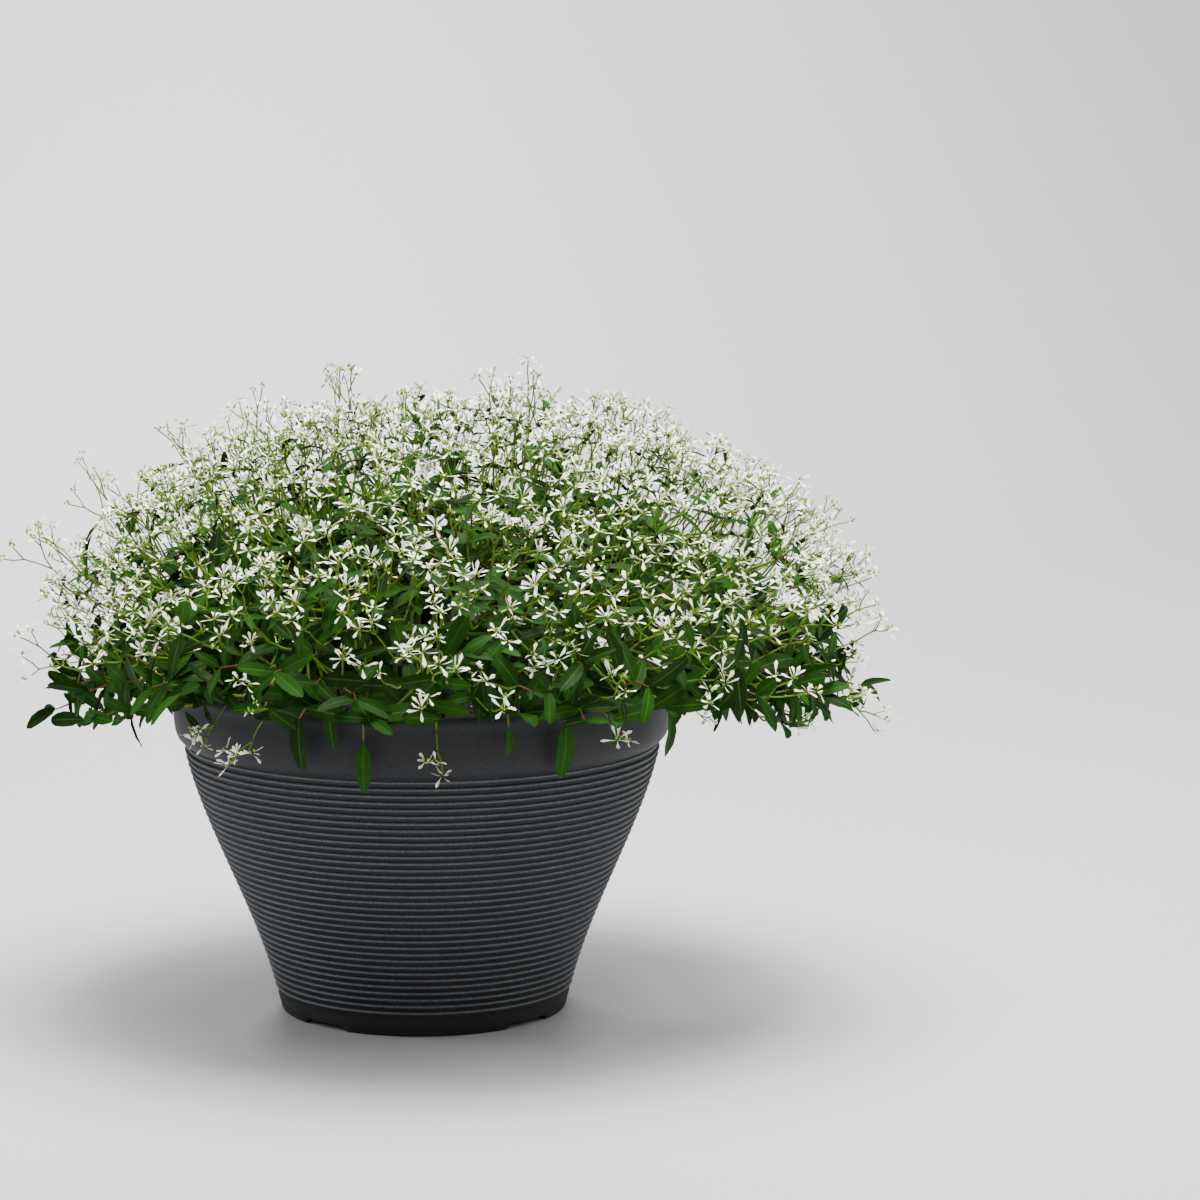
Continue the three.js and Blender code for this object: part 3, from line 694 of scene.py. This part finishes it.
# Soft-haired euphorbia leaf: deep green with a faint paler midrib and side veins, younger leaves lighter
leaf, leaf_tree = new_material("soft green euphorbia leaf", Roughness=0.6, Specular_IOR_Level=0.08)
pattern = mesh_attribute(leaf_tree, "blade").outputs["Vector"]
tone = mesh_attribute(leaf_tree, "tone").outputs["Fac"]
on_blade = add_node(leaf_tree, "ShaderNodeSeparateXYZ", {0: pattern}).outputs
from_rib = calculated(leaf_tree, "ABSOLUTE", on_blade["X"])
rib = stretched(leaf_tree, from_rib, 0.03, 0.14, 0.5, 0.0)
slant = calculated(leaf_tree, "MULTIPLY_ADD", from_rib, -0.22, on_blade["Y"])
ripple = calculated(leaf_tree, "SINE", calculated(leaf_tree, "MULTIPLY", slant, 62.0))
vein = stretched(leaf_tree, ripple, 0.75, 1.0, 0.0, 0.12)
veins = calculated(leaf_tree, "MAXIMUM", rib, vein)
mottled = stretched(leaf_tree, noise_on(leaf_tree, 160.0, 3.0), 0.3, 0.7, 0.85, 1.12)
young = blend(leaf_tree, tone, "#082001", "#1e4808")
green = scaled(leaf_tree, young, mottled)
dress(leaf_tree, blend(leaf_tree, veins, green, "#3f6a20"), veins, 0.5, 0.3 * MM, invert=True)

leaves = bpy.data.collections.new("leaf shapes")
LEAF_FORMS = ((0.10, 0.20, 0.012), (0.22, 0.30, 0.02), (0.34, 0.16, 0.016), (0.16, 0.42, 0.024))
for k, (droop, fold, wave) in enumerate(LEAF_FORMS):
    shape = Shape(f"leaf {k}", [leaf])
    shape.add(*blade(1, LEAF_WIDTH / LEAF_LENGTH, LEAF_SHAPE, 5, 0.02, droop, fold, wave), 0, Matrix())
    leaves.objects.link(shape.built())
small_leaf = Shape("small leaf", [leaf])
small_leaf.add(*blade(1, 0.3, SMALL_LEAF_SHAPE, 3, 0.03, 0.25, 0.3), 0, Matrix())
leaves.objects.link(small_leaf.built())
SMALL_LEAF = len(LEAF_FORMS)


# Flower heads
# Each is a tuft of two to four tiny green cups on short stalks, ringed by narrow white bracts that are the
# plant's show. A young head is all green but for two short bracts.

BRACT_LENGTH = (5.2 * MM, 9.3 * MM)
BRACT_WIDTH = (1.7 * MM, 2.7 * MM)
BRACT_SHAPE = ((0.36, 0.3), (0.8, 1.0))
# Bracts stand at degrees up, and droop by shares of their length
BRACT_RISE = (-20, 62)
BRACT_DROOP = (-0.38, 0.42)
CUP_SIZE = 1.7 * MM
# Millimetres out from the head's middle and up, for a cup
CUP_OFF = (1.0, 2.2)
CUP_UP = (0.6, 2.6)
HEAD_FORMS = 8
YOUNG_FORMS = 2

# White bracts: creamy white, green at the claw
bract, bract_tree = new_material("white euphorbia bract", Roughness=0.6, IOR=1.4)
pattern = mesh_attribute(bract_tree, "blade").outputs["Vector"]
along = add_node(bract_tree, "ShaderNodeSeparateXYZ", {0: pattern}).outputs["Y"]
dress(bract_tree, blend(bract_tree, stretched(bract_tree, along, 0.05, 0.42), "#b6c97c", "#fefdea"))
# Green cups: fresh yellow green, waxy
cup, cup_tree = new_material("yellow green cup", Roughness=0.42, Specular_IOR_Level=0.25)
dress(cup_tree, blend(cup_tree, noise_on(cup_tree, 90.0, 1.0), "#5f8a12", "#9dbf2c"))


def bead(size, stretch, sides=4):
    """A small bud, pointed at both ends."""
    corners = [Vector((0, 0, -size * stretch / 2)), Vector((0, 0, size * stretch / 2))]
    corners += [Vector((x, y, 0)) for x, y in round_spots(size / 2, sides)]
    faces = [(1, 2 + k, 2 + (k + 1) % sides) for k in range(sides)]
    faces += [(0, 2 + (k + 1) % sides, 2 + k) for k in range(sides)]
    return corners, faces, [(0.0, 0.5)] * (sides + 2)


def aimed(point, along, up):
    """The matrix that puts a piece at a point with its +X along one direction and its +Z near another."""
    x = along.normalized()
    y = up.cross(x).normalized()
    z = x.cross(y)
    return Matrix.Translation(point) @ Matrix((x, y, z)).transposed().to_4x4()


heads = bpy.data.collections.new("flower head shapes")
UP = Vector((0, 0, 1))
for form in range(HEAD_FORMS):
    draw = random.Random(100 + form)
    shape = Shape(f"head {form}", [bract, cup])
    young_head = form >= HEAD_FORMS - YOUNG_FORMS
    cups = 4 if young_head else 2 + form % 2
    for k in range(cups):
        angle = 2 * math.pi * (k + draw.uniform(-0.2, 0.2)) / cups
        off = draw.uniform(*CUP_OFF) * MM
        centre = Vector((off * math.cos(angle), off * math.sin(angle), draw.uniform(*CUP_UP) * MM))
        shape.add(*bead(CUP_SIZE * draw.uniform(0.8, 1.15), 1.3), 1, Matrix.Translation(centre))
    bracts = 2 if young_head else 5 + form % 3
    for k in range(bracts):
        angle = 2 * math.pi * (k + draw.uniform(-0.5, 0.5)) / bracts
        rise = math.radians(draw.uniform(*BRACT_RISE))
        way = Vector((math.cos(angle) * math.cos(rise), math.sin(angle) * math.cos(rise), math.sin(rise)))
        size = 0.6 if young_head else 1.0
        length = size * draw.uniform(*BRACT_LENGTH)
        width = size * draw.uniform(*BRACT_WIDTH)
        start = way * 0.8 * MM + UP * draw.uniform(0, 1.2) * MM
        spun = Matrix.Rotation(draw.uniform(-0.5, 0.5), 4, "X")
        parts = blade(length, width, BRACT_SHAPE, 2, 0.5 * MM, draw.uniform(*BRACT_DROOP), 0.0)
        shape.add(*parts, 0, aimed(start, way, UP) @ spun)
    heads.objects.link(shape.built())


# Sprays
# The plant is a mound of wiry stems that fork again and again, with a pair of leaves or small bracts at each
# fork and a flower head at each tip. Every spray rises from its own place in the soil, arches out to its part
# of the mound, and branches there. A few loose twigs reach past the mound or hang over the rim.

MOUND_X = 22 * MM
MOUND_MIDDLE = 215 * MM
MOUND_RADIUS = 277 * MM
MOUND_TOP = 385 * MM
MOUND_POWER = 2.3
SIDE_SAG = 24 * MM
RINGS = ((80, 3, 20), (59, 8, 10), (34, 13, 3), (9, 14, 13))
CORE_DEPTH = 42 * MM
STEM_RADIUS = 1.5 * MM
STEM_ROOT = 20 * MM
ROOT_SPREAD = 0.44
STEM_KNEE = 44 * MM
STEM_RISE = 0.3
STEM_ARRIVAL = 34 * MM
STEM_OVERHANG = 44 * MM
# Room that foliage keeps from the pot: over its rim, inside it and outside it, and over the soil
OVER_RIM = 2 * MM
INSIDE_RIM = 9 * MM
OUTSIDE_RIM = 2.5 * MM
OVER_SOIL = 8 * MM
OVER_SKIRT = 4 * MM
FRONT_SKIRT = 221 * MM
SIDE_SKIRT = 197 * MM
SKIRT_RAGGED = 20 * MM
RAGS_PER_METRE = 28
# How squarely a place faces the front where the skirt starts to rise to the rim, and until it has risen
FRONT_FROM = 0.55
FRONT_BLEND = 0.25
SIDE_THINNING = 45 * MM
# The outer and the inner layer of branch ends: depths from and to, room round each end, and places tried
LAYERS = ((43 * MM, 62 * MM, 17.4 * MM, 15000), (70 * MM, 96 * MM, 25 * MM, 5000))
TOP_OPENING = 0.08
BRANCH_RADIUS = 1.0 * MM
BRANCH_SPAN = 62 * MM
TURN_COST = 30 * MM
FORK_LENGTHS = (17 * MM, 12 * MM, 8.5 * MM)
FORK_ANGLE = (22, 38)
FORK_OUT = 0.14
FORK_UP = 0.16
TWIG_BOW = 0.06
TWIG_RADIUS = (0.64 * MM, 0.5 * MM, 0.43 * MM, 0.38 * MM)
# Lengths of the two leaves at a fork: up a branch, at its end, at a low end without flowers and that end's
# own tip, on a spray's stem, small ones among the flowers, and a few large ones there
BRANCH_LEAVES = (21 * MM, 33 * MM)
END_LEAVES = (18 * MM, 29 * MM)
LOW_LEAVES = (23 * MM, 34 * MM)
TIP_LEAVES = (18 * MM, 30 * MM)
INNER_LEAVES = (26 * MM, 36 * MM)
FORK_LEAVES = (10 * MM, 17 * MM)
HIGH_LEAVES = (22 * MM, 30 * MM)
SMALL_LEAF_BELOW = 17 * MM
# How far leaves low on the mound sag, and the millimetres of stem past a low end
LOW_SAG = 0.5
LOW_TIP = 14
# Chances low on the mound, and what full flower adds to them: leaves up a branch, leaves at its end, a
# flowering fork there, and a whole one
CHANCES = ((0.8, -0.4), (0.7, -0.5), (0.25, 0.75), (0.3, 0.7))
FORK_LEAF_CHANCE = 0.42
HIGH_LEAF_CHANCE = 0.12
BARE_FORK_CHANCE = 0.06
# Shares of young heads: on a longer twig, on the right, and what the far left adds to that
WISP_YOUNG = 0.6
YOUNG_SHARE = 0.17
YOUNG_LEFT = 0.25
WISP_CHANCE = 0.14
WISP_REACH = 1.4
WISP_DEPTH = 32 * MM
# Where a longer twig stands out of the mound: degrees round it and up it
WISPS = (
    (163, 30), (172, 20), (182, 38), (150, 42), (192, 28),
    (140, 52), (120, 62), (202, 16), (24, 26), (345, 18),
)
# Degrees up the mound at which flowers grow more common, and from which every branch has them
FLOWERS_FROM = 7.5
FLOWERS_FULL = 21
SEED = 20817

# Wiry stems: yellow green, reddish brown where they fork
stem, stem_tree = new_material("wiry green stem", Roughness=0.5, Specular_IOR_Level=0.2)
knot = mesh_attribute(stem_tree, "knot").outputs["Fac"]
sap = blend(stem_tree, noise_on(stem_tree, 60.0, 2.0), "#3f5f12", "#6f9226")
dress(stem_tree, blend(stem_tree, stretched(stem_tree, knot, 0.72, 0.92), sap, "#5c3f26"))


def mound_place(turn, rise, depth):
    """A point inside the mound's surface by a depth, and the way straight out of it."""
    radius = MOUND_RADIUS - depth
    height = MOUND_TOP - MOUND_MIDDLE - depth
    across = max(math.cos(rise), 0) ** (2 / MOUND_POWER)
    up = max(math.sin(rise), 0) ** (2 / MOUND_POWER)
    sag = SIDE_SAG * math.cos(turn) ** 2 * math.cos(rise) ** 3
    x, y = radius * across * math.cos(turn), radius * across * math.sin(turn)
    point = Vector((MOUND_X + x, y, MOUND_MIDDLE + height * up - sag))
    level = across ** (MOUND_POWER - 1) / radius
    lift = up ** (MOUND_POWER - 1) / height
    return point, Vector((level * math.cos(turn), level * math.sin(turn), lift)).normalized()


def bezier(points, steps):
    """Points along a cubic curve."""
    a, b, c, d = points
    shares = [k / steps for k in range(steps + 1)]
    return [a * (1 - t) ** 3 + b * 3 * t * (1 - t) ** 2 + c * 3 * t * t * (1 - t) + d * t**3 for t in shares]


def main_stem(head, out):
    """A spray's own stem: upright in the soil, then rising and bending out to the spray's middle."""
    foot_z = SOIL_LEVEL + 0.6 * SOIL_CROWN
    foot = Vector(((head.x - MOUND_X) * ROOT_SPREAD, head.y * ROOT_SPREAD, foot_z))
    knee = foot + UP * (STEM_KNEE + STEM_RISE * max(head.z - foot.z, 0))
    bend = head - out * STEM_ARRIVAL + UP * max(0, STEM_OVERHANG * (1 - out.z))
    return [foot - UP * STEM_ROOT, *bezier((foot + UP * 4 * MM, knee, bend, head), 14)]


class Growth:
    """One spray: the path of its own stem, its stems as thick lines, and the places of leaves and heads."""

    def __init__(self, number, rise, middle, out):
        self.number, self.draw = number, random.Random(SEED + number - 1)
        self.rise, self.middle, self.out, self.path = rise, middle, out, main_stem(middle, out)
        self.corners, self.edges = [], []
        self.numbers = {"kind": [], "thick": [], "knot": [], "size": [], "tone": [], "form": []}
        self.turns = []

    def put(self, point, turn=(0, 0, 0), **numbers):
        self.corners.append(point)
        self.turns.append(turn)
        for name, values in self.numbers.items():
            values.append(float(numbers.get(name, 0)))

    def stem(self, points, thick_from, thick_to):
        first = len(self.corners)
        last = len(points) - 1
        for k, point in enumerate(points):
            thick = thick_from + (thick_to - thick_from) * k / last
            self.put(point, kind=0, thick=thick, knot=1 if k in (0, last) else 0)
        self.edges += [(first + k, first + k + 1) for k in range(last)]

    def anyway(self):
        """A random direction, not of any one length."""
        return Vector([self.draw.uniform(-1, 1) for axis in range(3)])

    def leaf(self, point, way, up, length, hangs=False):
        """Puts a leaf, or the small form of one where it is short, if it has room to lie there."""
        way = way.normalized()
        tip = point + way * length
        if not hangs and tip.z < lowest(tip):
            way = (way + UP * (lowest(tip) - tip.z) / length).normalized()
        turn = aimed(point, way, up + self.anyway() * 0.35).to_euler()
        form = SMALL_LEAF if length < SMALL_LEAF_BELOW else self.draw.randrange(len(LEAF_FORMS))
        spots = [point + way * length * share for share in (0.35, 0.7, 1.0)]
        if clear_of_pot(spots) and (hangs or spots[-1].z > lowest(spots[-1]) - 3 * MM):
            self.put(point, turn, kind=1, size=length, tone=self.draw.random(), form=form)

    def head(self, point, way, young):
        side = self.anyway()
        turn = aimed(point, side - way * side.dot(way), way).to_euler()
        form = self.draw.randrange(HEAD_FORMS - YOUNG_FORMS)
        if self.draw.random() < young:
            form = HEAD_FORMS - 1 - self.draw.randrange(YOUNG_FORMS)
        self.put(point, turn, kind=2, size=self.draw.uniform(0.82, 1.12), form=form)

    def pair(self, point, way, lengths, lift, up, sag=0.0):
        """Two opposite leaves at a fork."""
        side = way.orthogonal().normalized()
        side.rotate(Matrix.Rotation(self.draw.uniform(0, 2 * math.pi), 3, way))
        length = self.draw.uniform(*lengths)
        for way_out in (side, -side):
            rise = math.radians(self.draw.uniform(*lift))
            along = way_out * math.cos(rise) + way * math.sin(rise) - UP * sag
            self.leaf(point, along, up + UP * 0.4, length * self.draw.uniform(0.85, 1.05))


def clear_of_pot(points):
    """True if none of these points is in the pot's wall or rim, or under its soil."""
    for point in points:
        radius = math.hypot(point.x, point.y)
        if point.z < POT_HEIGHT + OVER_RIM and RIM_RADIUS - INSIDE_RIM < radius < RIM_RADIUS + OUTSIDE_RIM:
            return False
        if point.z < SOIL_LEVEL + OVER_SOIL and radius < RIM_RADIUS:
            return False
    return True


def lowest(point):
    """The height that foliage stays above at a place: the rim's in front, lower at the sides and behind."""
    front = -point.y / max(math.hypot(point.x, point.y), 1 * MM)
    share = min(max((front - FRONT_FROM) / FRONT_BLEND, 0), 1)
    ragged = SKIRT_RAGGED * noise.noise(point * RAGS_PER_METRE) * (1.4 - share)
    return SIDE_SKIRT + (FRONT_SKIRT - SIDE_SKIRT) * share + ragged


def fork(growth, start, way, out, level, reach, young, hangs=False):
    """Forks a twig until it ends in flower heads."""
    draw = growth.draw
    length = FORK_LENGTHS[level] * reach * draw.uniform(0.75, 1.2)
    end = start + way * length
    if not hangs and end.z < lowest(end) + OVER_SKIRT:
        way = (way + UP * (lowest(end) + OVER_SKIRT - end.z) / length).normalized()
        end = start + way * length
    bow = way.orthogonal() * draw.uniform(-TWIG_BOW, TWIG_BOW) * length
    if not clear_of_pot([end]):
        return
    growth.stem([start, start.lerp(end, 0.5) + bow, end], TWIG_RADIUS[level], TWIG_RADIUS[level + 1])
    if level == len(FORK_LENGTHS) - 1:
        growth.head(end, (way * 0.55 + UP).normalized(), young)
        return
    if reach < WISP_REACH and draw.random() < FORK_LEAF_CHANCE:
        growth.pair(end, way, FORK_LEAVES, (10, 50), out)
    elif level == 0 and draw.random() < HIGH_LEAF_CHANCE:
        growth.pair(end, way, HIGH_LEAVES, (-10, 20), out)
    hinge = way.orthogonal().normalized()
    hinge.rotate(Matrix.Rotation(draw.uniform(0, 2 * math.pi), 3, way))
    for side in (-1, 1):
        if level == 1 and draw.random() < BARE_FORK_CHANCE:
            continue
        turned = way.copy()
        turned.rotate(Matrix.Rotation(side * math.radians(draw.uniform(*FORK_ANGLE)), 3, hinge))
        onward = (turned + out * FORK_OUT + UP * FORK_UP).normalized()
        fork(growth, end, onward, out, level + 1, reach, young, hangs)


sprays = []
for rise, count, first in RINGS:
    for k in range(count):
        turn = math.radians(first + 360 * k / count)
        sprays.append(Growth(len(sprays) + 1, rise, *mound_place(turn, math.radians(rise), CORE_DEPTH)))
        sprays[-1].stem(sprays[-1].path, STEM_RADIUS, 0.6 * STEM_RADIUS)

# Branch ends stand evenly over the mound, by trying random places and keeping those with room round them.
place_draw = random.Random(SEED)
ends = []
for layer, (shallow, deep, gap, tries) in enumerate(LAYERS):
    for attempt in range(tries):
        turn = place_draw.uniform(0, 2 * math.pi)
        rise = math.asin(place_draw.uniform(0, 1))
        point, out = mound_place(turn, rise, place_draw.uniform(shallow, deep))
        room = gap * (1 + TOP_OPENING * out.z)
        low = (point.z - lowest(point)) / SIDE_THINNING
        if low < 1 and abs(math.cos(turn)) > 0.6 and place_draw.random() > 0.35 + 0.65 * low:
            continue
        if point.z > lowest(point) and all((point - end[0]).length > room for end in ends):
            ends.append((point, out, math.degrees(rise), turn, layer))
for turn, rise in WISPS:
    point, out = mound_place(math.radians(turn), math.radians(rise), WISP_DEPTH)
    ends.append((point, out, rise, math.radians(turn), 0))

for index, (point, out, degrees, turn, layer) in enumerate(ends):
    growth = min(sprays, key=lambda spray: (spray.middle - point).length)
    draw, path = growth.draw, growth.path

    def cost(k):
        way = point - path[k]
        along = path[k] - path[k - 1]
        turn_back = 1 - way.normalized().dot(along.normalized())
        return abs(way.length - BRANCH_SPAN) + TURN_COST * turn_back

    joint = min(range(5, len(path) - 1), key=cost)
    start = path[joint]
    along = (path[joint + 1] - path[joint - 1]).normalized()
    span = (point - start).length
    lean = (out * 0.8 + UP * 0.35).normalized()
    branch = bezier((start, start + along * span * 0.35, point - lean * span * 0.4, point), 5)
    growth.stem(branch, BRANCH_RADIUS, TWIG_RADIUS[0])
    way = (branch[-1] - branch[-2]).normalized()
    flowering = (degrees - FLOWERS_FROM) / (FLOWERS_FULL - FLOWERS_FROM)
    flowering = min(max(flowering, 0), 1)
    leaves_chance, end_chance, fork_chance, whole_chance = [low + more * flowering for low, more in CHANCES]
    if draw.random() < leaves_chance:
        growth.pair(branch[3], way, BRANCH_LEAVES, (0, 35), out, LOW_SAG * (1 - flowering))
    if draw.random() < end_chance:
        growth.pair(point, way, END_LEAVES, (5, 40), out, LOW_SAG * (1 - flowering))
    is_wisp = index >= len(ends) - len(WISPS)
    reach = WISP_REACH if is_wisp or draw.random() < WISP_CHANCE else 1.0
    if is_wisp or draw.random() < fork_chance:
        start_level = layer if draw.random() < whole_chance else 1
        young = WISP_YOUNG if is_wisp else YOUNG_SHARE + YOUNG_LEFT * max(-math.cos(turn), 0)
        fork(growth, point, way, out, start_level, reach, young)
    else:
        tip = point + (way + UP * -0.4).normalized() * LOW_TIP * MM
        if clear_of_pot([tip]) and tip.z > lowest(tip):
            growth.stem([point, tip], TWIG_RADIUS[0], TWIG_RADIUS[2])
            growth.pair(tip, (tip - point).normalized(), TIP_LEAVES, (20, 60), out)
        growth.pair(point, way, LOW_LEAVES, (-10, 30), out, 0.6)

# Inner leaves along each spray's own stem close the mound from within.
for growth in sprays:
    path = growth.path
    for k in range(6, len(path), 2):
        way = (path[k] - path[k - 1]).normalized()
        growth.pair(path[k], way, INNER_LEAVES, (0, 30), growth.out)

# Twigs that hang over the rim: degrees round the pot from the front, towards +X; distance from the pot's
# axis and height of the hanging end, in millimetres; a leaf's length, or the fork a tuft of heads starts from
HANGING_LEAVES = (
    (33, 163, 166, 36), (65, 166, 167, 33), (45, 165, 182, 24), (20, 163, 184, 17), (-24, 163, 174, 34),
    (-17, 164, 188, 27), (-10, 163, 164, 30), (-76, 180, 168, 32), (-82, 210, 182, 24), (152, 165, 172, 34),
    (205, 168, 172, 34), (112, 168, 176, 30), (250, 172, 170, 34),
)
HANGING_HEADS = (
    (-41, 168, 210, 0), (-32, 166, 203, 0), (5, 162, 200, 0), (43, 166, 200, 1), (62, 182, 206, 1),
    (80, 214, 200, 0), (87, 258, 196, 0), (132, 172, 196, 0), (175, 164, 196, 1), (236, 176, 196, 0),
)
# Millimetres: how far in from its hanging end a twig leaves its stem, how far above the end and in from it
# the twig turns down, and how high it arches before that
HANGING_FROM = 38
HANGING_DROP = 26
HANGING_IN = 5
HANGING_ARCH = 12
HANGING_RADIUS = (0.9 * MM, 0.6 * MM)
low_sprays = [spray for spray in sprays if spray.rise == RINGS[-1][0]]
for index, (degrees, reach, height, size) in enumerate(HANGING_LEAVES + HANGING_HEADS):
    turn = math.radians(degrees)
    away = Vector((math.sin(turn), -math.cos(turn), 0))
    is_leaf = index < len(HANGING_LEAVES)
    end = away * reach * MM + UP * (height + (size if is_leaf else 0)) * MM
    growth = min(low_sprays, key=lambda spray: (spray.path[9] - end).length)
    branching = (reach - HANGING_FROM) * MM
    joint = min(growth.path[4:14], key=lambda spot: abs(math.hypot(spot.x, spot.y) - branching))
    over = end + UP * HANGING_DROP * MM - away * HANGING_IN * MM
    line = bezier((joint, joint.lerp(over, 0.6) + UP * HANGING_ARCH * MM, over, end), 8)
    growth.stem(line, *HANGING_RADIUS)
    if is_leaf:
        growth.leaf(end, -UP + away * 0.12, away, size * MM, True)
        growth.leaf(line[5], -UP + away * 0.8, away + UP, 0.8 * size * MM)
    else:
        fork(growth, end, (away * 0.7 - UP * 0.7).normalized(), away, size, 0.9, 0.1, True)

# The tree sweeps a small round section along the stems, and puts a leaf or a flower head at each other point.
spray_tree, spray_in, spray_out = new_tree(
    "euphorbia spray",
    {
        "Stem sides": 4,
        "Leaves": "Collection",
        "Heads": "Collection",
        "Stem material": "Material",
        "Leaf material": "Material",
    },
)
numbers = {name: stored_number(spray_tree, name) for name in ("kind", "thick", "size", "form")}
euler = stored_number(spray_tree, "turn", "FLOAT_VECTOR")
turned = add_node(spray_tree, "FunctionNodeEulerToRotation", {0: euler}).outputs[0]
is_stem = compared(spray_tree, "LESS_THAN", numbers["kind"], 0.5)
split = add_node(
    spray_tree,
    "GeometryNodeSeparateGeometry",
    {"Geometry": spray_in.outputs["Geometry"], "Selection": is_stem},
    domain="POINT",
)
lines = add_node(spray_tree, "GeometryNodeMeshToCurve", {"Mesh": split.outputs[0]}).outputs[0]

round_section = add_node(
    spray_tree,
    "GeometryNodeCurvePrimitiveCircle",
    {"Resolution": spray_in.outputs["Stem sides"], "Radius": 1.0},
    mode="RADIUS",
).outputs[0]
stems = add_node(
    spray_tree,
    "GeometryNodeCurveToMesh",
    {"Curve": lines, "Profile Curve": round_section, "Scale": numbers["thick"], "Fill Caps": True},
)
green_stems = add_node(
    spray_tree,
    "GeometryNodeSetMaterial",
    {"Geometry": stems.outputs[0], "Material": spray_in.outputs["Stem material"]},
).outputs[0]
spray_parts = [green_stems]
is_kind = {}
for socket, kind in (("Leaves", 1.0), ("Heads", 2.0)):
    is_kind[socket] = add_node(
        spray_tree, "FunctionNodeCompare", {0: numbers["kind"], 1: kind, 12: 0.1}, operation="EQUAL"
    ).outputs[0]
    grown = add_node(
        spray_tree,
        "GeometryNodeInstanceOnPoints",
        {
            "Points": split.outputs[1],
            "Selection": is_kind[socket],
            "Instance": shapes_of(spray_tree, spray_in.outputs[socket]),
            "Pick Instance": True,
            "Instance Index": numbers["form"],
            "Rotation": turned,
            "Scale": numbers["size"],
        },
    )
    spray_parts.append(grown.outputs[0])
end_tree(spray_tree, spray_out, spray_parts, spray_in.outputs["Leaf material"], is_kind["Leaves"])

spray_values = {"Leaves": leaves, "Heads": heads, "Stem material": stem, "Leaf material": leaf}
for growth in sprays:
    thing = line_object("growth", growth.corners, growth.edges, growth.numbers)
    turns = [value for turn in growth.turns for value in turn]
    thing.data.attributes.new("turn", "FLOAT_VECTOR", "POINT").data.foreach_set("vector", turns)
    piece = evaluated(thing, spray_tree, spray_values, f"euphorbia_spray_{growth.number:02d}")
    for name in ("kind", "thick", "size", "form", "turn"):
        if name in piece.data.attributes:
            piece.data.attributes.remove(piece.data.attributes[name])
    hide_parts(f"spray_{growth.number:02d}")
    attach(piece, "root")
for shape in list(leaves.objects) + list(heads.objects):
    bpy.data.objects.remove(shape)
